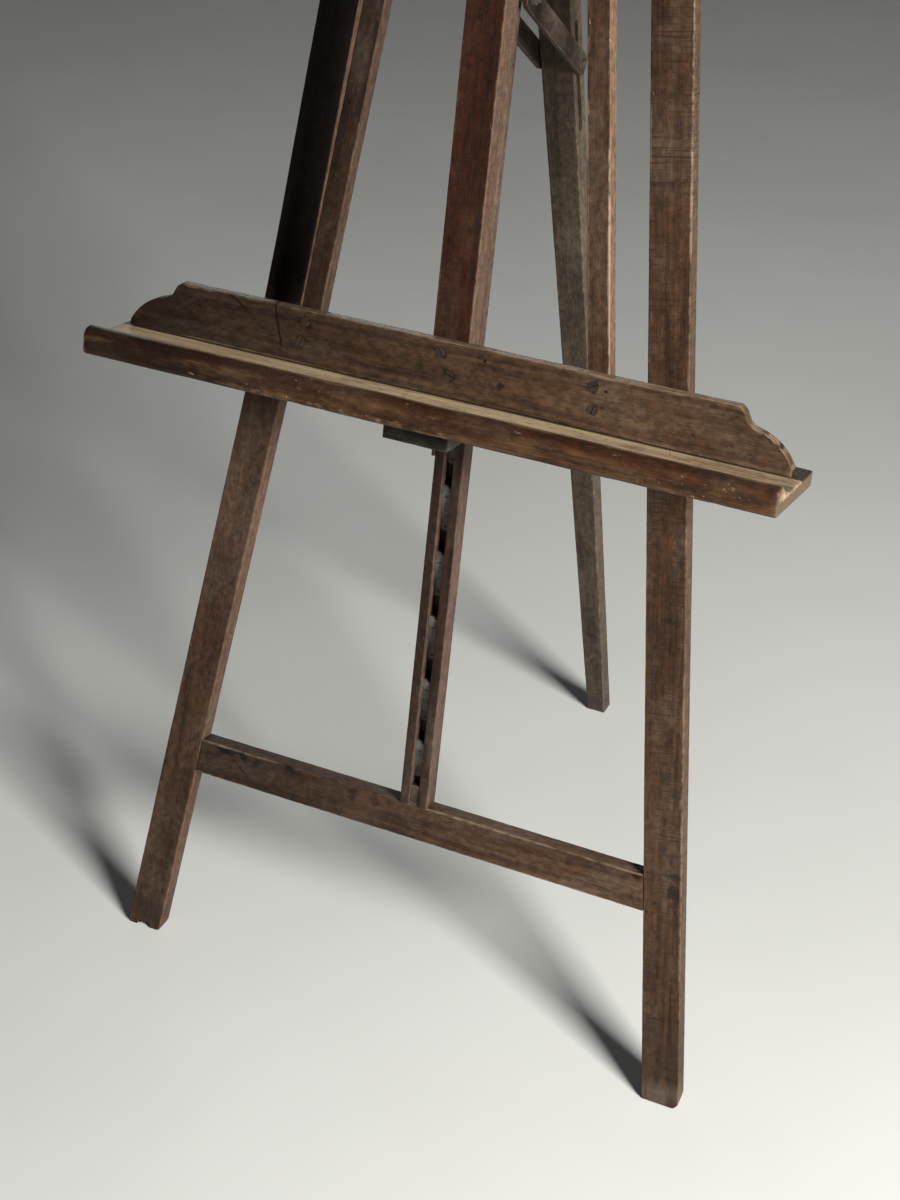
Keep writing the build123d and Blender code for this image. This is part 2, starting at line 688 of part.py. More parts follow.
def slat_inner(up):
    return SLAT_INNER - SLAT_TAPER * (up - SLAT_REFERENCE)


slat_meets = SLAT_REFERENCE + (SLAT_INNER - BOARD_HALF) / SLAT_TAPER
slat_ends = SLAT_REFERENCE + (SLAT_INNER + SLAT_WIDTH - BOARD_HALF) / SLAT_TAPER
slat_screw_places = {-1: [], 1: []}
for side in (-1, 1):
    for up in (slat_meets + 22.0, slat_meets + 78.0):
        edge = side * (slat_inner(up) + SLAT_WIDTH)
        place = Pos(edge, up, BOARD_FRONT - SLAT_THICK / 2) * Rot(0, side * 90, 0)
        slat_screw_places[side].append(place)
SLAT_SCREW = (3.0, 1.5, 24.0)


def slat(side):
    corners = [
        (side * slat_inner(LEDGE_SURFACE), LEDGE_SURFACE),
        (side * (slat_inner(LEDGE_SURFACE) + SLAT_WIDTH), LEDGE_SURFACE),
        (side * BOARD_HALF, slat_ends),
        (side * BOARD_HALF, slat_meets),
    ]
    piece = front_outline(corners, BOARD_FRONT, BOARD_FRONT - SLAT_THICK)
    piece = drill(piece, SLAT_SCREW, slat_screw_places[side])
    piece = drill(piece, BOARD_SCREW, backboard_screw_places)
    return drill(piece, LEDGE_SCREW, ledge_screw_places)


all_slat_screws = slat_screw_places[-1] + slat_screw_places[1]
centre_board = drill(centre_board, SLAT_SCREW, all_slat_screws)
centre_board = drill(centre_board, BOARD_SCREW, backboard_screw_places)
backboard = drill(backboard, BOARD_SCREW, backboard_screw_places)
backboard = drill(backboard, LEDGE_SCREW, ledge_screw_places)

save("centre_board", centre_board, mast_frame)
save("left_guide_strip", guide_strip(-1, LEFT_STRIP_BOTTOM), mast_frame)
save("right_guide_strip", guide_strip(1, RIGHT_STRIP_BOTTOM), mast_frame)
save("left_slat", slat(-1), mast_frame)
save("right_slat", slat(1), mast_frame)
save("backboard", backboard, mast_frame)
save("ledge", ledge, mast_frame)
save("ledge_block", ledge_block, mast_frame)
save("backboard_screws", screw_group(BOARD_SCREW, backboard_screw_places), mast_frame)
save("slat_screws", screw_group(SLAT_SCREW, all_slat_screws), mast_frame)
save("ledge_screws", screw_group(LEDGE_SCREW, ledge_screw_places), mast_frame)
save("block_screws", screw_group(BLOCK_SCREW, block_screw_places), mast_frame)

# ---------------------------------------------------------------- pawl
# It hangs in the slot of the centre board. Its toe stands over a rack ledge.
toe_up = RACK_FIRST + 5 * RACK_PITCH + 1.3
pawl_sketch = Polygon(
    (PAWL_PIVOT_UP, PAWL_PIVOT_FRONT - 6.5),
    (PAWL_PIVOT_UP, PAWL_PIVOT_FRONT + 6.5),
    (690.0, 10.0),
    (662.0, 7.0),
    (660.0, 5.5),
    (660.0, 2.0),
    (toe_up, 1.0),
    (toe_up, -8.0),
    (toe_up + 5.0, -8.0),
    (toe_up + 20.0, 0.0),
    align=None,
)
pawl_sketch += Pos(PAWL_PIVOT_UP, PAWL_PIVOT_FRONT) * Circle(6.5)
pawl_sketch -= Pos(PAWL_PIVOT_UP, PAWL_PIVOT_FRONT) * Circle(PAWL_PIN_RADIUS + RUNNING_GAP)
save("pawl", side_outline(pawl_sketch, -PAWL_HALF, PAWL_HALF), mast_frame)
pawl_pin = cross_pin(PAWL_PIN_RADIUS, -BOARD_HALF, BOARD_HALF, PAWL_PIVOT_UP, PAWL_PIVOT_FRONT)
save("pawl_pin", pawl_pin, mast_frame)

# ---------------------------------------------------------------- joint positions, metres
for label, frame, spot in (
    ("rear hinge", leg_frame, (0, HINGE_UP, -HINGE_OFFSET)),
    ("stay pivot", mast_frame, (0, STAY_PIVOT_UP, -STAY_PIVOT_BACK)),
    ("pawl pivot", mast_frame, (0, PAWL_PIVOT_UP, PAWL_PIVOT_FRONT)),
):
    point = (frame * Pos(*spot)).position
    print(label, [round(value / 1000, 6) for value in point])
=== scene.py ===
import bpy
import math
from types import SimpleNamespace
from mathutils import Matrix, Vector, noise


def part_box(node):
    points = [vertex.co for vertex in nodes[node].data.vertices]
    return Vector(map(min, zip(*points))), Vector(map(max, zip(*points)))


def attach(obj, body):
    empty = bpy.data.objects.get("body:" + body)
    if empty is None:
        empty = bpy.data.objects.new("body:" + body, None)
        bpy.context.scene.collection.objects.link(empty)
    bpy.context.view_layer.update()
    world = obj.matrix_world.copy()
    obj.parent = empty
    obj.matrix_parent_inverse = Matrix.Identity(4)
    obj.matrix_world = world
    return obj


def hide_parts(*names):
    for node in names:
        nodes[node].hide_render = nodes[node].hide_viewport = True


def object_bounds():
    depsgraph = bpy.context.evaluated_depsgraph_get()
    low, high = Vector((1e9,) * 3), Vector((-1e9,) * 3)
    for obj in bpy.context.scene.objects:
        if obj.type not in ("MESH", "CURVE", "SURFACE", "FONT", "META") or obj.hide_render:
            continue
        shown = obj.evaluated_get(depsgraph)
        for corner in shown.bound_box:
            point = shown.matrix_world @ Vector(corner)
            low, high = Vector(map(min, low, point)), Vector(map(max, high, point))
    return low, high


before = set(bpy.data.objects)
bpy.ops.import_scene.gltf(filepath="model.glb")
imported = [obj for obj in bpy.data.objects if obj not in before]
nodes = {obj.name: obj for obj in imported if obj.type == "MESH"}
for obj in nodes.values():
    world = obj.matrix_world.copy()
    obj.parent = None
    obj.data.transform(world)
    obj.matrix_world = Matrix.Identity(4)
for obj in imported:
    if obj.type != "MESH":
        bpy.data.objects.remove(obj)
cad_low, cad_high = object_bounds()
front_edge = cad_low[1]
TAU = 2 * math.pi

# ---------- leaning frames, metres


def leaning(back, height, lean, shift=0.0):
    """x across, y up the lean, z to the front."""
    a = math.radians(lean)
    rows = (Vector((1, 0, 0)), Vector((0, math.sin(a), math.cos(a))), Vector((0, -math.cos(a), math.sin(a))))
    m = Matrix(rows).transposed().to_4x4()
    m.translation = (shift, front_edge + back, height)
    return m


LEG_DEGREES, MAST_DEGREES, REAR_DEGREES = 12.15, 10.15, -16.26
MAST_SETBACK = 0.006
REAR_FOOT = 0.62081
LEG_LEAN = math.radians(LEG_DEGREES)
LEG = leaning(0, 0, LEG_DEGREES)
MAST = leaning(MAST_SETBACK * math.cos(LEG_LEAN), -MAST_SETBACK * math.sin(LEG_LEAN), MAST_DEGREES)
stays_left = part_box("left_stay")[0][0]
stays_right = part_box("right_stay")[1][0]
REAR = leaning(REAR_FOOT, 0, REAR_DEGREES, (stays_left + stays_right) / 2)
FLOOR = Matrix.Identity(4)


def turned(m):
    """The same frame with y running across and x running down."""
    return m @ Matrix.Rotation(-math.pi / 2, 4, "Z")


def splayed(m, x, y, turn):
    """A frame moved to (x, y) and turned about its own z."""
    return m @ Matrix.Translation((x, y, 0)) @ Matrix.Rotation(turn, 4, "Z")


def extent(node, m):
    """Lowest and highest corner of a CAD node, seen in a frame."""
    back = m.inverted()
    pts = [back @ v.co for v in nodes[node].data.vertices]
    return [min(p[i] for p in pts) for i in range(3)], [max(p[i] for p in pts) for i in range(3)]


def cut(m, plane_frame, axis, value):
    """y as a function of (x, z) in frame m, on the plane where plane_frame's axis has that value."""
    t = plane_frame.inverted() @ m
    row = t[axis]
    return lambda x, z: (value - row[3] - row[0] * x - row[2] * z) / row[1]


# ---------- node helpers


class Shader:
    """A material, with short ways to add nodes to it."""

    def __init__(self, name, material=None):
        self.material = material or bpy.data.materials.new(name)
        self.material.use_nodes = True
        self.tree = self.material.node_tree
        self.bsdf = self.tree.nodes["Principled BSDF"]

    def node(self, kind, props=None, **inputs):
        n = self.tree.nodes.new("ShaderNode" + kind)
        for key, value in (props or {}).items():
            setattr(n, key, value)
        for key, value in inputs.items():
            socket = n.inputs[int(key[1:])] if key[0] == "i" and key[1:].isdigit() else n.inputs[key]
            self.put(socket, value)
        return n

    def put(self, socket, value):
        if isinstance(value, bpy.types.NodeSocket):
            self.tree.links.new(value, socket)
        else:
            socket.default_value = value

    def math(self, op, a, b=0.0, c=0.0):
        return self.node("Math", {"operation": op}, i0=a, i1=b, i2=c).outputs[0]

    def times(self, a, b):
        return self.math("MULTIPLY", a, b)

    def plus(self, a, b):
        return self.math("ADD", a, b)

    def minus(self, a, b):
        return self.math("SUBTRACT", a, b)

    def ramp(self, value, low, high, a=0.0, b=1.0):
        n = self.node("MapRange", {"interpolation_type": "SMOOTHSTEP"}, Value=value)
        for key, v in (("From Min", low), ("From Max", high), ("To Min", a), ("To Max", b)):
            self.put(n.inputs[key], v)
        return n.outputs[0]

    def mix(self, factor, a, b, blend="MIX"):
        n = self.node("Mix", {"data_type": "RGBA", "blend_type": blend})
        for i, v in ((0, factor), (6, a), (7, b)):
            self.put(n.inputs[i], v if isinstance(v, (float, int, bpy.types.NodeSocket)) else (*v[:3], 1))
        return n.outputs[2]

    def between(self, value, rise, top, edge, end):
        """Rises from 0 to 1 and falls back to 0."""
        return self.times(self.ramp(value, rise, top), self.ramp(value, edge, end, 1.0, 0.0))

    def dimmed(self, colour, level):
        grey = self.node("CombineColor", None, Red=level, Green=level, Blue=level).outputs[0]
        return self.mix(1.0, colour, grey, "MULTIPLY")

    def scaled(self, vector, scale):
        return self.node("VectorMath", {"operation": "MULTIPLY"}, i0=vector, i1=scale).outputs[0]

    def noise(self, vector, scale, detail=2.0, rough=0.55, distortion=0.0):
        n = self.node("TexNoise", None, Vector=self.scaled(vector, scale), Scale=1.0, Detail=detail,
                      Roughness=rough, Distortion=distortion)
        return n.outputs["Fac"]

    def attribute(self, name):
        return self.node("Attribute", {"attribute_name": name}).outputs["Fac"]

    def position(self, seed):
        coords = self.node("TexCoord").outputs["Object"]
        offset = (seed * 1.37 % 7, seed * 2.11 % 5, seed * 0.73 % 3)
        return self.node("VectorMath", {"operation": "ADD"}, i0=coords, i1=offset).outputs[0]

    def bump(self, height, strength, distance):
        n = self.node("Bump", None, Strength=strength, Distance=distance, Height=height)
        self.put(self.bsdf.inputs["Normal"], n.outputs[0])


DUST = (0.115, 0.088, 0.064)


def shaded(tone, level):
    """A darker version of a colour."""
    return [c * level for c in tone]


def grain(s, p):
    """The noises that a piece of wood is coloured and roughened with."""
    sway = s.times(s.minus(s.noise(p, (2.5, 1.1, 2.5), 1.0), 0.5), 0.02)
    drift = s.node("CombineXYZ", None, X=sway, Z=sway).outputs[0]
    q = s.node("VectorMath", {"operation": "ADD"}, i0=p, i1=drift).outputs[0]
    rings = s.math("SINE", s.times(s.noise(q, (16, 0.9, 16), 2.0, 0.5), 70.0))
    return SimpleNamespace(
        fibre=s.noise(q, (620, 15, 620), 4.0, 0.65),
        streak=s.noise(q, (290, 6.5, 290), 4.0, 0.62),
        rings=s.ramp(rings, -0.7, 1.0),
        pores=s.ramp(s.noise(q, (1500, 55, 1500), 1.0), 0.6, 0.72),
        patch=s.noise(p, (11, 4.5, 11), 4.0, 0.6),
        blotch=s.noise(p, (34, 13, 34), 5.0, 0.65),
        fine=s.noise(p, (240, 90, 240), 3.0, 0.6),
        mottle=s.noise(p, (170, 105, 170), 5.0, 0.68))


def grain_colour(s, g, dark, mid, light, figure):
    tone = s.plus(s.times(g.fibre, 0.38), s.times(g.streak, 0.27))
    tone = s.plus(tone, s.times(g.mottle, 0.15))
    tone = s.plus(tone, s.times(g.rings, 0.16 * figure))
    tone = s.plus(tone, s.times(s.minus(g.patch, 0.5), 0.42))
    colour = s.mix(s.ramp(tone, 0.22, 0.52), dark, mid)
    return s.mix(s.ramp(tone, 0.48, 0.86), colour, light)


def facing_side(s, axis, sign):
    """1 where the surface faces along one of the piece's own axes."""
    spaces = {"vector_type": "NORMAL", "convert_from": "WORLD", "convert_to": "OBJECT"}
    normal = s.node("VectorTransform", spaces, Vector=s.node("NewGeometry").outputs["Normal"]).outputs[0]
    part = s.node("SeparateXYZ", None, Vector=normal).outputs[axis]
    return s.ramp(s.times(part, sign), 0.55, 0.9)


def aged(s, p, g, colour, dark, dust, grime):
    """Dust, open pores, dirt, fine speckle and small pits."""
    dusty = s.times(s.ramp(s.plus(g.blotch, s.times(g.patch, 0.6)), 0.72, 1.05), dust)
    colour = s.mix(dusty, colour, DUST)
    colour = s.mix(s.times(g.pores, 0.55), colour, shaded(dark, 0.35))
    dirt = s.times(s.ramp(s.noise(p, (55, 24, 55), 5.0, 0.7), 0.58, 0.75), grime)
    colour = s.mix(dirt, colour, shaded(dark, 0.45))
    colour = s.dimmed(colour, s.ramp(g.mottle, 0.34, 0.66, 0.70, 1.24))
    pits = s.node("TexVoronoi", None, Vector=s.scaled(p, (150, 110, 150)), Scale=1.0).outputs["Distance"]
    pits = s.times(s.ramp(pits, 0.07, 0.13, 1.0, 0.0), s.ramp(g.patch, 0.45, 0.6))
    return s.mix(s.times(pits, 0.8), colour, shaded(dark, 0.25))


def chatter_marks(s, p, g):
    """Dark ripples across the grain."""
    cross = s.ramp(s.noise(p, (22, 560, 22), 3.0, 0.7, 0.4), 0.53, 0.62)
    return s.times(cross, s.ramp(s.plus(g.blotch, s.times(g.mottle, 0.5)), 0.62, 0.86))


def crack_slit(s, p, axes, crack):
    """A thin slit that wanders from one (x, y) point to another."""
    x_a, y_a, x_b, y_b, width = crack
    slope = (y_b - y_a) / (x_b - x_a)
    wander = s.times(s.minus(s.noise(p, (90, 90, 90), 2.0), 0.5), 0.004)
    line = s.math("MULTIPLY_ADD", axes[0], slope, y_a - x_a * slope)
    gap = s.math("ABSOLUTE", s.minus(s.plus(axes[1], wander), line))
    first, last = sorted((x_a, x_b))
    reach = s.between(axes[0], first - 0.002, first + 0.002, last - 0.002, last + 0.002)
    return s.times(s.ramp(gap, width * 0.3, width, 1.0, 0.0), reach)


def stain_spot(s, raw, g, place, radius):
    """A round stain with a ragged edge."""
    gap = s.node("VectorMath", {"operation": "DISTANCE"}, i0=raw, i1=place).outputs["Value"]
    ragged = s.minus(s.plus(g.mottle, s.times(g.blotch, 0.8)), 0.9)
    gap = s.plus(gap, s.times(ragged, radius * 3.2))
    return s.ramp(gap, radius * 0.5, radius * 1.5, 1.0, 0.0)


def rubbed_edges(s, p, g, wear):
    """Where the stain is rubbed or chipped off, mostly on the edges."""
    chips = s.ramp(s.noise(p, (90, 34, 90), 4.0, 0.7), 0.64, 0.70)
    arris = s.attribute("arris")
    rub = s.plus(s.times(arris, 0.85), s.times(s.minus(g.fine, 0.5), 1.1))
    rub = s.plus(rub, s.times(s.minus(g.patch, 0.5), 1.7))
    rub = s.times(s.ramp(rub, 0.72, 1.12), wear)
    return s.math("MAXIMUM", rub, s.times(s.times(chips, s.ramp(arris, 0.02, 0.4)), wear))


def relief(s, p, g, rub, scratch, chatter):
    """Height of the surface for the bump."""
    height = s.minus(s.times(g.fibre, 0.5), s.times(g.pores, 0.35))
    height = s.plus(height, s.times(g.streak, 0.5))
    height = s.minus(height, s.times(rub, 0.25))
    height = s.minus(height, s.times(scratch, 0.2))
    if chatter:
        height = s.plus(height, s.times(s.noise(p, (40, 620, 40), 1.0, 0.5), chatter))
    return height


def wood(name, seed, dark, mid, light, worn, side=None, wear=0.5, dust=0.35, grime=0.5, chatter=0.0,
         figure=1.0, rough=0.62, end=None, spots=(), marks=(), fade=None, cracks=(), rubbed=None):
    """Old stained timber; the grain runs along the piece's own y.

    side is (axis, sign, colour, amount) for faces with another tone; marks are (from, to, amount,
    colour) along y; spots are (place, radius, amount); cracks are (x, y, x, y, width); fade and
    rubbed are (from, to, level, level) along y, and fade can end with the level of the side faces.
    """
    s = Shader(name)
    raw = s.node("TexCoord").outputs["Object"]
    axes = s.node("SeparateXYZ", None, Vector=raw).outputs
    p = s.position(seed)
    g = grain(s, p)
    colour = grain_colour(s, g, dark, mid, light, figure)
    if side:
        facing = facing_side(s, side[0], side[1])
        uneven = s.ramp(s.plus(g.streak, s.times(g.blotch, 0.6)), 0.5, 1.0, 0.45, 1.0)
        colour = s.mix(s.times(facing, s.times(uneven, side[3])), colour, side[2])
    colour = aged(s, p, g, colour, dark, dust, grime)
    if chatter:
        ripples = s.times(chatter_marks(s, p, g), min(1.0, chatter * 1.3))
        colour = s.mix(ripples, colour, shaded(dark, 0.55))
    for crack in cracks:
        colour = s.mix(s.times(crack_slit(s, p, axes, crack), 0.85), colour, shaded(dark, 0.2))
    for low, high, amount, shade in marks:
        band = s.between(axes[1], low, low + 0.02, high - 0.02, high)
        band = s.times(band, s.ramp(g.blotch, 0.35, 0.6))
        colour = s.mix(s.times(band, amount), colour, shade)
    for place, radius, amount in spots:
        colour = s.mix(s.times(stain_spot(s, raw, g, place, radius), amount), colour, shaded(dark, 0.3))
    if fade:
        level = s.ramp(axes[1], *fade[:4])
        if len(fade) > 4:
            level = s.math("MAXIMUM", level, s.times(facing, fade[4]))
        colour = s.dimmed(colour, level)
    rub = rubbed_edges(s, p, g, wear)
    if rubbed:
        rub = s.times(rub, s.ramp(axes[1], *rubbed))
    colour = s.mix(rub, colour, worn)
    end_tone = end or [0.5 * (a + b) for a, b in zip(dark, mid)]
    speck = s.ramp(s.noise(p, (800, 800, 800), 3.0, 0.7), 0.35, 0.7)
    colour = s.mix(s.attribute("endgrain"), colour, s.mix(speck, shaded(end_tone, 0.45), end_tone))
    scratch = s.ramp(s.noise(p, (60, 420, 90), 2.0, 0.5, 2.5), 0.72, 0.75)
    colour = s.mix(s.times(scratch, 0.10), colour, worn)
    s.put(s.bsdf.inputs["Base Color"], colour)
    r = s.plus(s.times(g.fine, 0.22), s.times(g.fibre, 0.14))
    s.put(s.bsdf.inputs["Roughness"], s.plus(r, rough - 0.18))
    s.bsdf.inputs["Specular IOR Level"].default_value = 0.22
    s.bump(relief(s, p, g, rub, scratch, chatter), 0.55, 0.0007)
    return s.material


def metal(name, seed, base, stain, rust=0.35, rough=0.42, dull=0.7):
    """Old steel or zinc: pitted, stained, with scratches."""
    s = Shader(name)
    p = s.position(seed)
    cloud = s.noise(p, (90, 90, 90), 5.0, 0.65)
    pits = s.noise(p, (900, 900, 900), 3.0, 0.7)
    lines = s.noise(p, (300, 2500, 300), 1.0)
    colour = s.mix(s.ramp(cloud, 0.35, 0.68), stain, base)
    colour = s.mix(s.times(s.ramp(pits, 0.55, 0.72), rust), colour, (0.055, 0.032, 0.020))
    colour = s.mix(s.times(s.ramp(lines, 0.62, 0.7), 0.25), colour, [min(1, c * 1.5) for c in base])
    s.put(s.bsdf.inputs["Base Color"], colour)
    clean = s.plus(cloud, s.times(pits, 0.4))
    s.put(s.bsdf.inputs["Metallic"], s.ramp(clean, 0.45, 0.9, dull * 0.5, dull))
    s.put(s.bsdf.inputs["Roughness"], s.plus(s.times(cloud, 0.4), rough - 0.1))
    height = s.plus(s.times(pits, 0.6), s.times(cloud, 0.8))
    height = s.plus(height, s.times(lines, 0.15))
    s.bump(height, 0.5, 0.0003)
    return s.material


# ---------- mesh builders


def rounded(width, depth, radius, coarse=0.007):
    """Ring of (u, v, arris, outward u, outward v); u and v run 0 to 1 over the section."""
    r = min(radius, 0.45 * width, 0.45 * depth)
    ring = []
    corners = ((1, 1), (-1, 1), (-1, -1), (1, -1))
    for k, (sx, sz) in enumerate(corners):
        cx, cz = sx * (width / 2 - r), sz * (depth / 2 - r)
        start = k * math.pi / 2
        for n in range(5):
            a = start + n * math.pi / 8
            ring.append((cx + r * math.cos(a), cz + r * math.sin(a), 1.0, math.cos(a), math.sin(a)))
        a = start + math.pi / 2
        end = (cx + r * math.cos(a), cz + r * math.sin(a))
        nx, nz = corners[(k + 1) % 4]
        goal = (nx * (width / 2 - r) + r * math.cos(a), nz * (depth / 2 - r) + r * math.sin(a))
        span = math.hypot(goal[0] - end[0], goal[1] - end[1])
        gaps = [g for g in (0.001, 0.003) if g < span * 0.3]
        inner = span - 2 * (gaps[-1] if gaps else 0)
        steps = max(1, round(inner / coarse))
        spots = gaps + [gaps[-1] + inner * n / steps for n in range(1, steps)] if gaps else []
        spots += [span - g for g in reversed(gaps)]
        for d in spots:
            t = d / span
            near = min(d, span - d)
            ring.append((end[0] + (goal[0] - end[0]) * t, end[1] + (goal[1] - end[1]) * t,
                         max(0.0, 1 - near / 0.0017), math.cos(a), math.sin(a)))
    return [(x / width + 0.5, z / depth + 0.5, e, ox, oz) for x, z, e, ox, oz in ring]


def joined(cutters):
    """All cutters as the points and faces of one mesh."""
    points, faces = [], []
    for pts, polys in cutters:
        faces += [[i + len(points) for i in poly] for poly in polys]
        points += pts
    return points, faces


def finish_mesh(name, verts, faces, arris, endgrain, m, body, material, stands_for, cutters=()):
    mesh = bpy.data.meshes.new(name)
    mesh.from_pydata(verts, [], faces)
    for label, values in (("arris", arris), ("endgrain", endgrain)):
        layer = mesh.attributes.new(label, "FLOAT", "POINT")
        layer.data.foreach_set("value", values)
    mesh.materials.append(material)
    obj = bpy.data.objects.new(name, mesh)
    bpy.context.scene.collection.objects.link(obj)
    obj.matrix_world = m
    bpy.context.view_layer.update()
    if cutters:
        points, polys = joined(cutters)
        tool_mesh = bpy.data.meshes.new(name + "_tool")
        tool_mesh.from_pydata(points, [], polys)
        tool_mesh.materials.append(material)
        tool = bpy.data.objects.new(name + "_tool", tool_mesh)
        bpy.context.scene.collection.objects.link(tool)
        tool.matrix_world = m
        mod = obj.modifiers.new("cut", "BOOLEAN")
        mod.operation = "DIFFERENCE"
        mod.solver = "EXACT"
        mod.object = tool
        bpy.context.view_layer.update()
        graph = bpy.context.evaluated_depsgraph_get()
        result = bpy.data.meshes.new_from_object(obj.evaluated_get(graph))
        obj.modifiers.clear()
        obj.data = result
        result.name = name
        bpy.data.objects.remove(tool)
        bpy.data.meshes.remove(tool_mesh)
        bpy.data.meshes.remove(mesh)
    data = obj.data
    data.polygons.foreach_set("use_smooth", [True] * len(data.polygons))
    data.set_sharp_from_angle(angle=math.radians(38))
    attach(obj, body)
    if stands_for:
        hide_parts(*stands_for)
    return obj


def bar(name, stands_for, body, m, section, ends, material, radius=0.0012, step=0.005, seed=1,
        wobble=0.00016, dent=0.0005, cutters=(), extra=(), cap=0.0012, coarse=0.007, end_wear=1.0):
    """A worn board or batten lofted along its own y. section(y) gives four corners (x, z)."""
    low_fn, high_fn = ends
    probe = section((low_fn(0, 0) + high_fn(0, 0)) / 2)
    width = math.dist(probe[0], probe[1])
    depth = math.dist(probe[1], probe[2])
    radius = min(radius, 0.3 * width, 0.3 * depth)
    ring = rounded(width, depth, radius, coarse)
    low, high = low_fn(0, 0), high_fn(0, 0)
    length = high - low
    count = max(4, round((length - 2 * cap) / step))
    fracs = [(cap + (length - 2 * cap) * n / count) / length for n in range(count + 1)]
    for y in extra:
        fracs.append(min(max((y - low) / length, fracs[0]), fracs[-1]))
    fracs = sorted(set(round(f, 7) for f in fracs))
    verts, arris, endgrain, faces = [], [], [], []
    shift = Vector((seed * 3.1, seed * 1.7, seed * 2.3))

    def point(u, v, frac, inset=0.0, e=0.0, ou=0.0, ov=0.0):
        y_mid = low + length * frac
        c = section(y_mid)
        x = (c[0][0] * (1 - u) + c[1][0] * u) * (1 - v) + (c[3][0] * (1 - u) + c[2][0] * u) * v
        z = (c[0][1] * (1 - u) + c[1][1] * u) * (1 - v) + (c[3][1] * (1 - u) + c[2][1] * u) * v
        cx = sum(k[0] for k in c) / 4
        cz = sum(k[1] for k in c) / 4
        if inset:
            d = math.hypot(x - cx, z - cz) or 1
            x -= (x - cx) / d * min(inset, d)
            z -= (z - cz) / d * min(inset, d)
        y = low_fn(x, z) * (1 - frac) + high_fn(x, z) * frac
        at = Vector((x, y, z))
        push = wobble * noise.noise((at + shift) * 14)
        if e > 0:
            bite = max(0.0, noise.noise(Vector((x * 9, y * 34, z * 9)) + shift) - 0.36)
            small = max(0.0, noise.noise(Vector((x * 40, y * 190, z * 40)) + shift))
            push -= e * dent * (0.55 * bite + 0.35 * small)
        return (x + ou * push, y, z + ov * push)

    def add_ring(frac, inset, cap_value, edge=0.0, dy=0.0):
        for u, v, e, ou, ov in ring:
            level = max(e, edge)
            x, y, z = point(u, v, frac, inset, level, ou, ov)
            verts.append((x, y + dy, z))
            arris.append(level)
            endgrain.append(cap_value)

    n = len(ring)
    # low cap, from the middle outwards
    add_ring(0.0, 0.0045 + cap, 1.0)
    add_ring(0.0, cap, 1.0, 0.9 * end_wear)
    add_ring(0.0, cap * 0.3, 0.6, end_wear, cap * 0.3)
    for k, f in enumerate(fracs):
        near = min((f - fracs[0]), (fracs[-1] - f)) * length
        add_ring(f, 0.0, 0.0, end_wear * max(0.0, 1 - near / 0.003))
    add_ring(1.0, cap * 0.3, 0.6, end_wear, -cap * 0.3)
    add_ring(1.0, cap, 1.0, 0.9 * end_wear)
    add_ring(1.0, 0.0045 + cap, 1.0)
    rows = len(verts) // n
    for k in range(rows - 1):
        for i in range(n):
            j = (i + 1) % n
            faces.append((k * n + i, (k + 1) * n + i, (k + 1) * n + j, k * n + j))
    faces.append(tuple(range(n)))
    faces.append(tuple(reversed(range((rows - 1) * n, rows * n))))
    return finish_mesh(name, verts, faces, arris, endgrain, m, body, material, stands_for, cutters)


def rect(x0, x1, z0, z1):
    return ((x0, z0), (x1, z0), (x1, z1), (x0, z1))


def constant(x0, x1, z0, z1):
    r = rect(x0, x1, z0, z1)
    return lambda y: r


def flat(value):
    return lambda x, z: value


def prism(outline, axis, low, high):
    """Closed cutter: a counter-clockwise outline of (a, b) pairs run along an axis."""
    n = len(outline)
    pts = []
    for t in (low, high):
        for a, b in outline:
            pts.append({0: (t, a, b), 1: (b, t, a), 2: (a, b, t)}[axis])
    faces = [tuple(reversed(range(n))), tuple(range(n, 2 * n))]
    for i in range(n):
        j = (i + 1) % n
        faces.append((i, j, n + j, n + i))
    return pts, faces


def disc(a, b, radius, count=32):
    turns = [TAU * k / count for k in range(count)]
    return [(a + radius * math.cos(t), b + radius * math.sin(t)) for t in turns]


def heads(node, m, axis):
    """Lowest and highest corner, in frame m, of each round piece in a CAD node."""
    back = m.inverted()
    groups = []
    others = [i for i in range(3) if i != axis]
    for v in nodes[node].data.vertices:
        p = back @ v.co
        for g in groups:
            if math.hypot(p[others[0]] - g[0][others[0]], p[others[1]] - g[0][others[1]]) < 0.011:
                g.append(p)
                break
        else:
            groups.append([p])
    out = []
    for g in groups:
        out.append(([min(p[i] for p in g) for i in range(3)], [max(p[i] for p in g) for i in range(3)]))
    return out


def seats(node, m, axis, outward, low, high, gap=0.0004, depth=0.0012):
    """Shallow round recesses for the screw heads that lie inside a box of frame m."""
    tools = []
    for a, b in heads(node, m, axis):
        mid = [(p + q) / 2 for p, q in zip(a, b)]
        if any(mid[i] < low[i] - 0.02 or mid[i] > high[i] + 0.02 for i in range(3)):
            continue
        others = {0: (1, 2), 1: (2, 0), 2: (0, 1)}[axis]
        radius = (b[others[0]] - a[others[0]]) / 2 + gap
        face = b[axis] if outward > 0 else a[axis]
        t0, t1 = sorted((face - outward * depth, face + outward * 0.004))
        tools.append(prism(disc(mid[others[0]], mid[others[1]], radius, 28), axis, t0, t1))
    return tools


def rod(radius, a, b, axis, low, high):
    return prism(disc(a, b, radius, 32), axis, low, high)


# ---------- palettes (linear albedo)
DARK = dict(dark=(0.018, 0.0078, 0.0040), mid=(0.056, 0.0275, 0.0145),
            light=(0.104, 0.059, 0.033), worn=(0.19, 0.122, 0.070))
GREY = dict(dark=(0.021, 0.0137, 0.0086), mid=(0.050, 0.0335, 0.0215),
            light=(0.082, 0.058, 0.039), worn=(0.17, 0.125, 0.085))
BRIGHT = (0.42, 0.29, 0.185)
SIDE = (0.100, 0.060, 0.034)


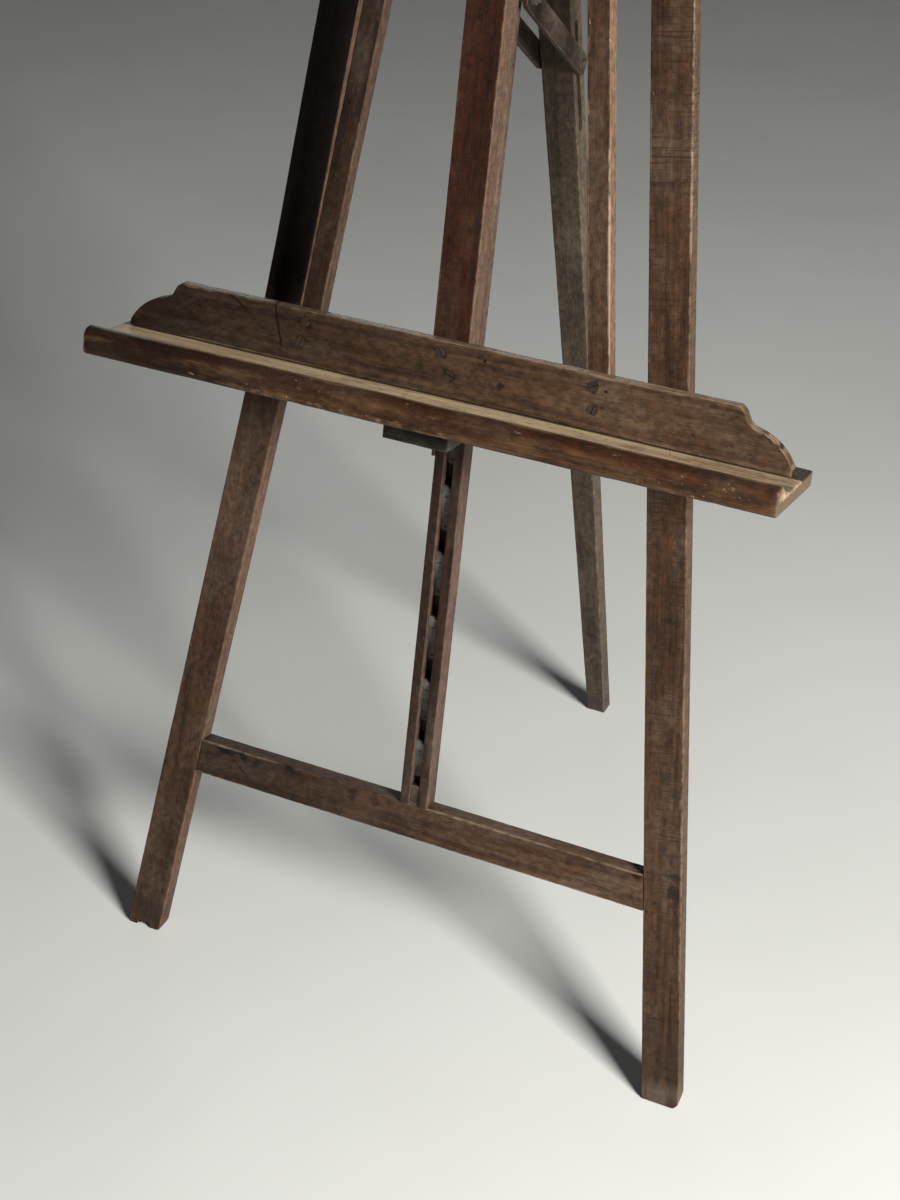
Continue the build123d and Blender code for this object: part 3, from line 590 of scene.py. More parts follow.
def dark_wood(name, seed, side=None, gain=1.0, tint=(1, 1, 1), worn=None, **more):
    tones = {k: tuple(c * gain * t for c, t in zip(v, tint)) if k != "worn" else v for k, v in DARK.items()}
    tones["worn"] = worn or tones["worn"]
    return wood(name, seed, side=side, **tones, **more)


# ---------- front legs
SPLAY = math.radians(8.4)
LEG_HALF, LEG_DEPTH = 0.02, 0.02
LEG_MIDDLE = 0.2904 + LEG_HALF / math.cos(SPLAY)
BOW, BOW_START, BOW_LENGTH = 0.016, 0.65, 1.2


def leg_frame(side):
    return splayed(LEG, side * LEG_MIDDLE, 0, side * SPLAY)


def leg_bow(up):
    """Outward bend of the left leg above the tray."""
    t = (up - BOW_START) / BOW_LENGTH
    return BOW * math.sin(math.pi * t) ** 2 if 0 < t < 1 else 0.0


def front_leg(node, side, seed, material):
    m = leg_frame(side)
    low, high = extent(node, m)

    def round_off(y, r):
        """How far a corner rounded by r stands back at a height y above the sole."""
        return r - math.sqrt(max(r * r - (r - y) ** 2, 0.0)) if 0 <= y < r else 0.0

    def section(y):
        bend = side * (leg_bow(y * math.cos(SPLAY)) if side < 0 else 0.0) * math.cos(SPLAY)
        outer, inner, front = round_off(y, 0.011), round_off(y, 0.005), round_off(y, 0.004)
        left, right = (inner, outer) if side > 0 else (outer * 0.7, inner)
        return rect(bend + left - LEG_HALF, bend - right + LEG_HALF, front - LEG_DEPTH, -front)

    tools = seats("leg_screws", m, 2, -1, low, high)
    if side < 0:
        broken = [(0.0100, -0.012), (0.0075, 0.0060), (0.0030, 0.0088), (-0.0005, 0.0048), (-0.0045, 0.0075),
                  (-0.0085, 0.0045), (-0.010, -0.012)]
        tools.append(prism(broken, 2, -0.0105, 0.004))
    ends = (cut(m, FLOOR, 2, 0.0), cut(m, LEG, 1, extent(node, LEG)[1][1]))
    return bar(node + "_worn", [node], "frame", m, section, ends, material, radius=0.0016,
               seed=seed, cutters=tools, dent=0.0007, cap=0.0012, wobble=0.0002,
               extra=[0.002, 0.003, 0.004, 0.0055, 0.007, 0.009, 0.011])


# Painted shade: fade darkens the front of the left leg, from 0.70 to 0.80 up the leg, to 0.14 of its tone.
# This stands for the shadow of the left slat; the side faces keep their tone.
left_leg_wood = dark_wood(
    "left_leg_wood", 11, side=(0, 1, (0.118, 0.062, 0.037), 0.8), gain=0.95, wear=0.4,
    fade=(0.70, 0.80, 1.0, 0.14, 1.0), rubbed=(0.3, 0.75, 1.0, 0.05), worn=(0.16, 0.105, 0.07),
    marks=((0.0, 0.05, 0.5, (0.012, 0.008, 0.006)),))
front_leg("left_leg", -1, 11, left_leg_wood)
right_leg_wood = dark_wood(
    "right_leg_wood", 23, side=(0, 1, SIDE, 0.9), wear=0.55, chatter=0.5, gain=0.95,
    tint=(1.0, 0.93, 0.82), worn=(0.33, 0.225, 0.14), rubbed=(0.75, 1.05, 0.4, 1.0),
    spots=(((0.011, 0.246, 0.0), 0.008, 0.6), ((0.013, 0.262, 0.0), 0.005, 0.5),
           ((0.012, 0.232, 0.0), 0.004, 0.4), ((-0.012, 0.120, 0.0), 0.004, 0.4)),
    marks=((0.03, 0.10, 0.5, (0.030, 0.021, 0.014)), (-0.02, 0.034, 0.45, (0.15, 0.115, 0.085))))
front_leg("right_leg", 1, 23, right_leg_wood)

# ---------- stretcher
T = turned(LEG)
low, high = extent("bottom_stretcher", LEG)
inner_left = cut(T, leg_frame(-1), 0, LEG_HALF)
inner_right = cut(T, leg_frame(1), 0, -LEG_HALF)
stretcher_wood = dark_wood(
    "stretcher_wood", 31, side=(0, -1, (0.115, 0.074, 0.047), 0.7), wear=0.6, tint=(1.0, 0.97, 0.90),
    worn=(0.25, 0.175, 0.11), fade=(-0.26, 0.24, 0.5, 1.12), figure=1.4,
    cracks=((-0.2445, -0.2165, -0.2183, -0.1836, 0.0012),),
    marks=((-0.090, -0.026, 0.35, (0.13, 0.078, 0.045)),),
    spots=(((-0.2495, -0.2267, 0.0), 0.005, 0.9), ((-0.2530, 0.2475, 0.0), 0.004, 0.9),
           ((-0.2515, -0.2120, 0.0), 0.005, 0.8), ((-0.2490, -0.1990, 0.0), 0.006, 0.8),
           ((-0.2465, -0.1860, 0.0), 0.006, 0.7), ((-0.2440, -0.0700, 0.0), 0.006, 0.6),
           ((-0.2450, -0.0450, 0.0), 0.007, 0.5), ((-0.2500, -0.2200, 0.0), 0.005, 0.8),
           ((-0.2510, -0.2050, 0.0), 0.004, 0.8), ((-0.2520, -0.1450, 0.0), 0.004, 0.7)))
bar("bottom_stretcher_worn", ["bottom_stretcher"], "frame", T,
    constant(-high[1], -low[1], low[2], high[2]), (inner_left, inner_right), stretcher_wood,
    seed=31, dent=0.0009, radius=0.0015, end_wear=0.0)

# ---------- mast
stretcher_top = high[1]
for node, seed in (("left_rail", 41), ("right_rail", 43)):
    low, high = extent(node, MAST)
    on_stretcher = cut(MAST, LEG, 1, stretcher_top)
    bar(node + "_worn", [node], "frame", MAST, constant(low[0], high[0], low[2], high[2]),
        (on_stretcher, flat(high[1])),
        dark_wood(node + "_wood", seed, side=(0, 1, (0.115, 0.064, 0.045), 0.8), gain=0.55, wear=0.25,
                  tint=(0.92, 1.0, 1.15) if seed == 41 else (0.90, 0.84, 0.88)),
        radius=0.0009, seed=seed, cutters=seats("mast_screws", MAST, 2, -1, low, high), coarse=0.006,
        end_wear=0.0)

low, high = extent("rack_strip", MAST)
plates = heads("rack_plates", MAST, 0)
tops = sorted(set(round(b[1], 4) for a, b in plates))
ledges = [t - 0.0012 for t in tops]
RACK_FOOT, RACK_ROOT, RACK_TIP, RACK_PITCH = -0.0105, -0.0155, -0.0037, 0.07


def rack_section(y):
    """Saw-tooth front: each tooth slopes out to the next ledge."""
    lower = [t for t in ledges if t < y]
    upper = [t for t in ledges if t >= y]
    if not lower:
        z = RACK_FOOT + (RACK_TIP - RACK_FOOT) * (y - low[1]) / (upper[0] - low[1])
    else:
        z = RACK_ROOT + (RACK_TIP - RACK_ROOT) * min(1.0, (y - lower[-1]) / RACK_PITCH)
    return rect(low[0], high[0], low[2], z)


jumps = ledges + [t + 0.0002 for t in ledges]
bar("rack_strip_worn", ["rack_strip"], "frame", MAST, rack_section,
    (flat(low[1]), flat(high[1])), dark_wood("rack_strip_wood", 47, gain=0.4, wear=0.0),
    radius=0.0004, seed=47, extra=jumps, dent=0.0, wobble=0.00003)

for node, seed in (("mast_foot_filler", 51), ("mast_top_spacer", 53)):
    low, high = extent(node, MAST)
    bottom = cut(MAST, LEG, 1, stretcher_top) if node == "mast_foot_filler" else flat(low[1])
    bar(node + "_worn", [node], "frame", MAST, constant(low[0], high[0], low[2], high[2]),
        (bottom, flat(high[1])), dark_wood(node + "_wood", seed, gain=1.1, tint=(0.85, 1.1, 1.35)),
        radius=0.0006, seed=seed)

T = turned(LEG)
to_leg = LEG.inverted() @ MAST
RAIL_BACK = -0.0225
for node, seed in (("hinge_crossbar", 57), ("head_block", 59)):
    low, high = extent(node, LEG)
    top_front, low_front = ((to_leg @ Vector((0, up, RAIL_BACK))).z for up in (high[1], low[1]))
    quad = ((-high[1], 0.0), (-low[1], 0.0), (-low[1], low_front), (-high[1], top_front))
    bar(node + "_worn", [node], "frame", T, lambda y, q=quad: q, (flat(low[0]), flat(high[0])),
        dark_wood(node + "_wood", seed, side=(0, -1, (0.17, 0.115, 0.075), 0.6), wear=0.8),
        seed=seed, radius=0.0014)

# ---------- rear leg with its slot
low, high = extent("rear_leg", REAR)


def rear_section(y):
    """The leg widens and thickens towards the hinge."""
    half = 0.012 + 0.0054 * y
    return rect(-half, half, -(0.0209 + 0.0053 * y), 0.0)


slot_mid, slot_half, slot_z, slot_r = 0.97155, 0.06205, -0.0105, 0.0042
outline = []
for sign in (1, -1):
    middle = slot_mid + sign * (slot_half - slot_r)
    start = -sign * math.pi / 2
    for k in range(13):
        a = start + math.pi * k / 12
        outline.append((middle + slot_r * math.cos(a), slot_z + slot_r * math.sin(a)))
bar("rear_leg_worn", ["rear_leg"], "rear_leg", REAR, rear_section,
    (cut(REAR, FLOOR, 2, 0.0), flat(high[1])),
    wood("rear_leg_wood", 61, side=(0, 1, (0.105, 0.078, 0.054), 0.7), wear=0.5, dust=0.5, **GREY,
         marks=((0.155, 0.175, 0.7, (0.014, 0.010, 0.007)), (0.0, 0.04, 0.5, (0.025, 0.02, 0.015)))),
    seed=61, radius=0.0016, dent=0.0008, cutters=[prism(outline, 0, -0.04, 0.04)], cap=0.002)

# ---------- stays
pin_low, pin_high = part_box("slot_pin")
pin = Vector([(a + b) / 2 for a, b in zip(pin_low, pin_high)])
bolt_low, bolt_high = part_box("stay_sleeves")
pivot = Vector([(a + b) / 2 for a, b in zip(bolt_low, bolt_high)])
run = Vector((0, pin.y - pivot.y, pin.z - pivot.z))
reach = run.length
along = run.normalized()
across = along.cross(Vector((1, 0, 0)))
half, tail = 0.0106, 0.0065
stay_tones = {
    "left_stay": {k: tuple(c * 0.62 for c in v) for k, v in GREY.items()},
    "right_stay": dict(dark=(0.014, 0.0072, 0.0048), mid=(0.031, 0.018, 0.0125),
                       light=(0.052, 0.031, 0.022), worn=(0.10, 0.066, 0.048)),
}
for node, seed in (("left_stay", 67), ("right_stay", 71)):
    a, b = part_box(node)
    m = Matrix((across, along, Vector((1, 0, 0)))).transposed().to_4x4()
    m.translation = (0, pivot.y, pivot.z)

    def stay_section(y, x0=a[0], x1=b[0]):
        h = half
        if y < 0:
            h = math.sqrt(max(half * half - y * y, 1e-7))
        left = right = h
        gap = reach + tail - y
        if gap < 0.007:
            left = h - 0.007 + math.sqrt(max(0.007 ** 2 - (0.007 - gap) ** 2, 0))
        if gap < 0.003:
            right = h - 0.003 + math.sqrt(max(0.003 ** 2 - (0.003 - gap) ** 2, 0))
        return rect(-left, right, x0, x1)

    fine = [-half + half * (1 - math.cos(k * math.pi / 20)) for k in range(1, 11)]
    fine += [reach + tail - 0.007 * (1 - math.cos(k * math.pi / 16)) for k in range(1, 9)]
    through = (a[0] - 0.01, b[0] + 0.01)
    holes = [rod(0.0031, 0, 0, 2, *through), rod(0.00345, 0, reach, 2, *through)]
    stay_wood = wood(node + "_wood", seed, wear=0.6, dust=0.45, **stay_tones[node],
                     spots=(((0, reach, a[0]), 0.007, 0.6), ((0, reach, b[0]), 0.007, 0.6)))
    bar(node + "_worn", [node], "stays", m, stay_section, (flat(-half), flat(reach + tail)),
        stay_wood, seed=seed, radius=0.0009, extra=fine, step=0.004, cap=0.0004, cutters=holes, dent=0.0004)

# ---------- tray frame: centre board and strips
low, high = extent("centre_board", MAST)
pawl_low, pawl_high = extent("pawl_pin", MAST)
pawl_up = (pawl_low[1] + pawl_high[1]) / 2
pawl_front = (pawl_low[2] + pawl_high[2]) / 2
tools = [
    prism([(0.60, -0.01), (0.757, -0.01), (0.757, 0.06), (0.60, 0.06)], 0, -0.0052, 0.0052),
    rod(0.0026, pawl_up, pawl_front, 0, -0.04, 0.04),
]
centre_board_wood = dark_wood(
    "centre_board_wood", 73, side=(0, 1, (0.140, 0.086, 0.058), 0.8), gain=0.52, tint=(1.07, 0.55, 0.29),
    wear=0.3, dust=0.12, chatter=0.25, figure=0.7)
bar("centre_board_worn", ["centre_board"], "tray_frame", MAST,
    constant(low[0], high[0], low[2], high[2]), (flat(low[1]), flat(high[1])), centre_board_wood,
    seed=73, cutters=tools, radius=0.0014, dent=0.0007)
for node, seed in (("left_guide_strip", 79), ("right_guide_strip", 83)):
    low, high = extent(node, MAST)
    bar(node + "_worn", [node], "tray_frame", MAST, constant(low[0], high[0], low[2], high[2]),
        (flat(low[1]), flat(high[1])),
        dark_wood(node + "_wood", seed, side=(0, 1, (0.12, 0.077, 0.052), 0.7), wear=0.2, gain=0.7),
        seed=seed, radius=0.0006, coarse=0.005, dent=0.0003)

# ---------- tray frame: slats
slat_turn = math.atan(0.1353)
SLAT_WIDTH, SLAT_MIDDLE, SLAT_TOP_X = 0.0212 * math.cos(slat_turn), 0.1354 + 0.0106, 0.0188
ledge_surface = extent("backboard", MAST)[0][1]
slat_looks = {
    # Painted shade: the left slat's low gain and dark side tone stand for the weaker light at the upper left.
    "left_slat": dict(side=(0, 1, (0.075, 0.042, 0.026), 0.9), wear=0.3, gain=0.42),
    "right_slat": dict(side=(0, 1, (0.19, 0.118, 0.072), 0.9), wear=0.8, gain=0.90, worn=BRIGHT,
                       rubbed=(-0.05, 0.35, 0.4, 1.0)),
}
for node, side, seed in (("left_slat", -1, 89), ("right_slat", 1, 97)):
    low, high = extent(node, MAST)
    m = splayed(MAST, side * SLAT_MIDDLE, 0.7645, side * slat_turn)
    tools = []
    for a, b in heads("slat_screws", m, 0):
        mid = [(p + q) / 2 for p, q in zip(a, b)]
        if abs(mid[0]) < 0.03:
            faces = sorted((side * (SLAT_WIDTH / 2 - 0.001), side * 0.02))
            tools.append(prism(disc(mid[1], mid[2], 0.0034, 28), 0, *faces))
    bar(node + "_worn", [node], "tray_frame", m,
        constant(-SLAT_WIDTH / 2, SLAT_WIDTH / 2, low[2], high[2]),
        (cut(m, MAST, 1, ledge_surface), cut(m, MAST, 0, side * SLAT_TOP_X)),
        dark_wood(node + "_wood", seed, tint=(1.0, 0.90, 0.80), **slat_looks[node]), seed=seed,
        radius=0.0013, dent=0.0008)

# ---------- tray frame: backboard
T = turned(MAST)
low, high = extent("backboard", MAST)
board_top, board_low = high[1], low[1]
ends_x = {-1: low[0], 1: high[0]}


def arc3(p, q, r, count=14):
    """Points on the arc through three (inward, up) points."""
    (ax, ay), (bx, by), (cx, cy) = p, q, r
    d = 2 * (ax * (by - cy) + bx * (cy - ay) + cx * (ay - by))
    ux = ((ax**2 + ay**2) * (by - cy) + (bx**2 + by**2) * (cy - ay) + (cx**2 + cy**2) * (ay - by)) / d
    uy = ((ax**2 + ay**2) * (cx - bx) + (bx**2 + by**2) * (ax - cx) + (cx**2 + cy**2) * (bx - ax)) / d
    r0 = math.hypot(ax - ux, ay - uy)
    a0 = math.atan2(ay - uy, ax - ux)
    a1 = math.atan2(cy - uy, cx - ux)
    am = math.atan2(by - uy, bx - ux)
    turn = (a1 - a0) % TAU
    if (am - a0) % TAU > turn:
        turn -= TAU
    angles = [a0 + turn * k / count for k in range(count + 1)]
    return [(ux + r0 * math.cos(a), uy + r0 * math.sin(a)) for a in angles]


curve = arc3((0.0365, 0.7462), (0.0128, 0.7340), (0.0, board_low + 0.0065))
curve += arc3((0.050, board_top - 0.005), (0.0458, 0.7511), (0.0365, 0.7462))
curve += [(0.053, board_top), (0.0505, board_top - 0.0042)]
curve = sorted(set((round(a, 6), b) for a, b in curve))


def board_height(x):
    inward = min(x - ends_x[-1], ends_x[1] - x)
    if inward >= curve[-1][0]:
        return board_top
    for (a, h), (b, k) in zip(curve, curve[1:]):
        if inward <= b:
            t = max(0.0, (inward - a) / (b - a))
            return h + (k - h) * t
    return board_top


def board_section(y):
    sag = 0.0006 * noise.noise(Vector((y * 6, 3.3, 1.7))) + 0.0004 * noise.noise(Vector((y * 21, 7.1, 1.7)))
    top = board_height(y)
    if top > board_low + 0.05:
        top += sag
    return rect(-top, -board_low - 0.0005, low[2], high[2])


stations = []
for side in (-1, 1):
    stations += [ends_x[side] - side * a for a, h in curve]
spots = []
for a, b in heads("backboard_screws", T, 2):
    spots.append((((a[0] + b[0]) / 2, (a[1] + b[1]) / 2, b[2]), 0.0056, 0.55))
BOARD_FACE = extent("backboard", T)[1][2]
nails = ((-0.7508, 0.1599, 0.0016, 0.95), (-0.7544, 0.0408, 0.0015, 0.95), (-0.7351, 0.058, 0.0035, 0.8),
         (-0.7470, -0.260, 0.0012, 0.9), (-0.7290, 0.245, 0.0012, 0.8))
spots += [((x, y, BOARD_FACE), radius, amount) for x, y, radius, amount in nails]
backboard_wood = wood(
    "backboard_wood", 101, dark=(0.024, 0.0135, 0.008), mid=(0.067, 0.035, 0.0185),
    light=(0.116, 0.070, 0.038), worn=(0.24, 0.17, 0.11), side=(0, -1, (0.25, 0.18, 0.115), 0.85),
    wear=0.4, dust=0.4, grime=0.6, figure=1.2, spots=spots, fade=(-0.36, 0.18, 0.30, 1.1),
    cracks=((-0.7650, -0.1785, -0.7254, -0.1692, 0.0018), (-0.7642, -0.2264, -0.7536, -0.2104, 0.0032),
            (-0.7453, 0.3057, -0.7304, 0.3336, 0.0020)))
tools = seats("backboard_screws", T, 2, 1, *extent("backboard", T), gap=0.0005, depth=0.0015)
bar("backboard_worn", ["backboard"], "tray_frame", T, board_section,
    (flat(ends_x[-1]), flat(ends_x[1])), backboard_wood, seed=101, extra=stations, radius=0.0018, dent=0.0009,
    cutters=tools, cap=0.0008, coarse=0.006)

# ---------- tray frame: ledge
low, high = extent("ledge", MAST)
S0, S1, LIP, BACK, NOSE = low[1], 0.7108, high[1], low[2], high[2]


def fillet(prev, here, nxt, r, count=6):
    """Points on a rounded corner."""
    a = (Vector(prev) - Vector(here)).normalized()
    b = (Vector(nxt) - Vector(here)).normalized()
    half = a.angle(b) / 2
    back = r / math.tan(half)
    centre = Vector(here) + (a + b).normalized() * (r / math.sin(half))
    p, q = Vector(here) + a * back, Vector(here) + b * back
    a0 = math.atan2(p.y - centre.y, p.x - centre.x)
    turn = (math.atan2(q.y - centre.y, q.x - centre.x) - a0 + math.pi) % TAU - math.pi
    return [(centre.x + r * math.cos(a0 + turn * k / count), centre.y + r * math.sin(a0 + turn * k / count))
            for k in range(count + 1)]


corners = [(S0, BACK), (S0, NOSE), (LIP, NOSE), (LIP, NOSE - 0.013), (S1, NOSE - 0.024), (S1, BACK)]
radii = [0.0012, 0.006, 0.009, 0.0025, 0.008, 0.0012]
profile = []
for k, (corner, r) in enumerate(zip(corners, radii)):
    pts = fillet(corners[k - 1], corner, corners[(k + 1) % 6], r)
    if profile:
        gap = math.dist(profile[-1][0], pts[0])
        steps = max(1, round(gap / 0.006))
        a, b = Vector(profile[-1][0]), Vector(pts[0])
        for n in range(1, steps):
            profile.append((tuple(a.lerp(b, n / steps)), 0.0))
    sharp = 1.0 if r < 0.004 else (0.75 if k == 1 else 0.25)
    profile += [(p, sharp) for p in pts]
a, b = Vector(profile[-1][0]), Vector(profile[0][0])
profile += [(tuple(a.lerp(b, n / 3)), 0.0) for n in (1, 2)]


def ledge():
    """The lofted ledge, in the turned mast frame."""
    n = len(profile)
    span = high[0] - low[0]
    count = 150
    verts, faces, arris, endgrain = [], [], [], []
    mid_up, mid_z = (S0 + S1) / 2, (BACK + NOSE) / 2

    def right_end(z):
        return high[0] - 0.0043 * (z - BACK) / (NOSE - BACK)

    def ring(frac, inset, dx, cap_value, edge):
        for (up, z), e in profile:
            if inset:
                up = mid_up + (up - mid_up) * (1 - inset / 0.009)
                z = mid_z + (z - mid_z) * (1 - inset / 0.052)
            x = low[0] + (right_end(z) - low[0]) * frac + dx
            level = max(e, edge)
            wob = 0.00035 * noise.noise(Vector((x * 16, up * 30, z * 30 + 4.0)))
            front = max(0.0, min(1.0, (z - NOSE + 0.012) / 0.012))
            bite = max(0.0, noise.noise(Vector((x * 46, up * 60, z * 60))) - 0.28)
            small = max(0.0, noise.noise(Vector((x * 150, up * 160, z * 160 + 9.0))) - 0.2)
            push = wob - (front + 0.6 * (level > 0.7)) * (0.0011 * bite + 0.0004 * small)
            du, dz = up - mid_up, (z - mid_z) * 0.18
            length = math.hypot(du, dz) or 1.0
            verts.append((-(up + push * du / length), x, z + push * dz / length))
            arris.append(level)
            endgrain.append(cap_value)

    ring(0.0, 0.0045, 0.0, 1.0, 0.0)
    ring(0.0, 0.0015, 0.0, 1.0, 0.8)
    ring(0.0, 0.0004, 0.0006, 0.7, 1.0)
    for k in range(count + 1):
        f = (0.0018 + (span - 0.0036) * k / count) / span
        edge = max(0.0, 1 - min(k, count - k) * span / count / 0.004)
        ring(f, 0.0, 0.0, 0.0, edge)
    ring(1.0, 0.0004, -0.0006, 0.7, 1.0)
    ring(1.0, 0.0015, 0.0, 1.0, 0.8)
    ring(1.0, 0.0045, 0.0, 1.0, 0.0)
    rows = len(verts) // n
    for k in range(rows - 1):
        for i in range(n):
            j = (i + 1) % n
            faces.append((k * n + i, k * n + j, (k + 1) * n + j, (k + 1) * n + i))
    faces.append(tuple(reversed(range(n))))
    faces.append(tuple(range((rows - 1) * n, rows * n)))
    return verts, faces, arris, endgrain


def ledge_wood():
    """Rubbed bare on top, dark stain on the nose with the wear showing through."""
    material = wood("ledge_wood", 107, dark=(0.014, 0.006, 0.003), mid=(0.037, 0.0115, 0.0036),
                    light=(0.072, 0.027, 0.009), worn=(0.25, 0.15, 0.078), wear=0.7, dust=0.25, grime=0.8,
                    end=(0.16, 0.108, 0.066), figure=0.8, fade=(-0.36, 0.28, 0.5, 1.15))
    s = Shader("ledge_wood", material)
    old = s.bsdf.inputs["Base Color"].links[0].from_socket
    raw = s.node("TexCoord").outputs["Object"]
    sep = s.node("SeparateXYZ", None, Vector=raw)
    p = s.position(55)
    streak = s.noise(p, (90, 5, 90), 4.0, 0.62)
    fibre = s.noise(p, (600, 12, 600), 3.0, 0.6)
    ragged = s.noise(p, (60, 9, 60), 5.0, 0.65)
    depth = s.plus(sep.outputs[2], s.times(s.minus(ragged, 0.5), 0.030))
    bare = s.ramp(depth, NOSE - 0.019, NOSE - 0.006, 1.0, 0.0)
    upward = s.ramp(sep.outputs[0], -(S1 - 0.0008), -(S1 - 0.004), 1.0, 0.0)
    grain_tone = s.plus(s.times(streak, 0.6), s.times(fibre, 0.4))
    tan = s.mix(s.ramp(grain_tone, 0.36, 0.62), (0.31, 0.220, 0.130), (0.54, 0.405, 0.25))
    stain = s.ramp(s.noise(p, (46, 13, 46), 5.0, 0.72), 0.50, 0.70)
    tan = s.mix(s.times(stain, 0.75), tan, (0.165, 0.108, 0.062))
    tan = s.mix(s.ramp(sep.outputs[1], -0.34, 0.05, 0.14, 0.0), tan, (0.20, 0.142, 0.09))
    dots = s.ramp(s.noise(p, (210, 120, 210), 4.0, 0.7), 0.55, 0.68)
    tan = s.mix(s.times(dots, 0.55), tan, (0.09, 0.055, 0.03))
    soiled = s.times(s.ramp(sep.outputs[1], 0.322, 0.342), s.ramp(ragged, 0.38, 0.56))
    tan = s.mix(s.times(soiled, 0.8), tan, (0.11, 0.077, 0.048))
    top = s.times(bare, upward)
    nose = s.times(s.ramp(sep.outputs[2], NOSE - 0.006, NOSE - 0.002),
                  s.ramp(sep.outputs[0], -(LIP - 0.004), -(LIP - 0.010)))
    patchy = s.plus(s.noise(p, (46, 11, 46), 5.0, 0.72), s.times(sep.outputs[1], 0.13))
    patchy = s.ramp(patchy, 0.42, 0.64)
    honey = s.mix(s.ramp(fibre, 0.35, 0.65), (0.080, 0.040, 0.0165), (0.155, 0.084, 0.036))
    old = s.mix(s.times(s.times(nose, patchy), 0.62), old, honey)
    colour = s.mix(top, old, tan)
    # Painted shadow: a thin dark line on the ledge top along the backboard's front face, for the shadow in
    # the gap between them.
    gap_shadow = s.ramp(sep.outputs[2], BOARD_FACE + 0.0006, BOARD_FACE + 0.0022, 0.85, 0.0)
    colour = s.mix(s.times(gap_shadow, upward), colour, (0.012, 0.009, 0.006))
    lip = s.ramp(sep.outputs[2], NOSE - 0.020, NOSE - 0.004, 1.0, 0.0)
    lip = s.times(lip, s.ramp(sep.outputs[0], -(LIP + 0.001), -(LIP - 0.004), 1.0, 0.0))
    lip = s.times(lip, s.ramp(ragged, 0.42, 0.62))
    colour = s.mix(s.times(lip, 0.5), colour, (0.16, 0.105, 0.062))
    fleck = s.ramp(s.noise(p, (300, 170, 300), 3.0, 0.75), 0.64, 0.68)
    where = s.ramp(s.noise(p, (20, 7, 20), 2.0), 0.46, 0.6)
    colour = s.mix(s.times(s.times(fleck, where), 0.5), colour, (0.34, 0.26, 0.17))
    s.put(s.bsdf.inputs["Base Color"], colour)
    return material


verts, faces, arris, endgrain = ledge()
notch = prism([(-0.80, -0.0188), (-0.60, -0.0188), (-0.60, 0.0188), (-0.80, 0.0188)], 2, -0.02, 0.0253)
finish_mesh("ledge_worn", verts, faces, arris, endgrain, T, "tray_frame", ledge_wood(),
            ["ledge"], [notch] + seats("ledge_screws", T, 0, 1, *extent("ledge", T)))

# ---------- block under the ledge
# Painted shade: the block's dark, mid and light tones are set near black for the shadow under the ledge.
low, high = extent("ledge_block", T)
bar("ledge_block_worn", ["ledge_block"], "tray_frame", T,
    constant(low[0], high[0], low[2], high[2]), (flat(low[1]), flat(high[1])),
    wood("ledge_block_wood", 109, dark=(0.005, 0.0040, 0.0030), mid=(0.0075, 0.0058, 0.0042),
         light=(0.016, 0.0125, 0.0092), worn=(0.10, 0.08, 0.06), wear=0.3, dust=0.3, grime=0.7,
         end=(0.07, 0.06, 0.045)),
    seed=109, radius=0.0012, step=0.004, cutters=seats("block_screws", T, 0, 1, low, high))

# ---------- metal and small parts stay as CAD nodes
zinc = metal("rack_zinc", 3, (0.16, 0.157, 0.15), (0.06, 0.055, 0.048), rust=0.5, rough=0.45, dull=0.55)
iron = metal("hinge_iron", 7, (0.17, 0.155, 0.14), (0.06, 0.05, 0.042), rust=0.6, rough=0.4)
steel = metal("screw_steel", 9, (0.20, 0.17, 0.14), (0.07, 0.05, 0.038), rust=0.7, rough=0.42, dull=0.6)
dull_screw = metal("sunk_screw", 13, (0.062, 0.040, 0.026), (0.028, 0.017, 0.011), rust=0.7, rough=0.5,
                   dull=0.3)
peg_wood = dark_wood("peg_wood", 113, gain=0.6, wear=0.1)
finishes = {
    "rack_plates": zinc, "hinge_leaf_frame": iron, "hinge_leaf_leg": iron, "hinge_pin": iron, "pawl": iron,
    "stay_bolt": steel, "stay_nut": steel, "stay_sleeves": iron, "slot_pin": steel, "pawl_pin": steel,
    "stretcher_pegs": peg_wood, "rack_plate_screws": dull_screw, "backboard_screws": dull_screw,
    "slat_screws": dull_screw,
}
for name, obj in nodes.items():
    if name.endswith("_screws") or name.startswith("hinge_screws") or name in finishes:
        finish = finishes.get(name, steel)
        obj.data.materials.clear()
        obj.data.materials.append(finish)
        for poly in obj.data.polygons:
            poly.material_index = 0
        mod = obj.modifiers.new("soft_edges", "BEVEL")
        mod.width = 0.00018 if "screw" in name else 0.0003
        mod.segments = 2
        mod.limit_method = "ANGLE"
        mod.angle_limit = math.radians(35)

# ---------- floor
floor_shader = Shader("studio_floor")
fp = floor_shader.position(2)
mottle = floor_shader.noise(fp, (1.2, 1.2, 1.2), 5.0, 0.55)
grit = floor_shader.noise(fp, (60, 60, 60), 4.0, 0.6)
shade = floor_shader.mix(floor_shader.ramp(mottle, 0.3, 0.7), (0.70, 0.705, 0.675), (0.75, 0.755, 0.725))
floor_shader.put(floor_shader.bsdf.inputs["Base Color"], shade)
floor_shader.bsdf.inputs["Roughness"].default_value = 0.55
floor_shader.bump(floor_shader.plus(mottle, floor_shader.times(grit, 0.1)), 0.12, 0.002)
floor_mesh = bpy.data.meshes.new("floor")
FLOOR_HALF = 9
floor_corners = [(x * FLOOR_HALF, y * FLOOR_HALF, 0) for x, y in ((-1, -1), (1, -1), (1, 1), (-1, 1))]
floor_mesh.from_pydata(floor_corners, [], [(0, 1, 2, 3)])
floor_mesh.materials.append(floor_shader.material)
floor = bpy.data.objects.new("floor", floor_mesh)
bpy.context.scene.collection.objects.link(floor)

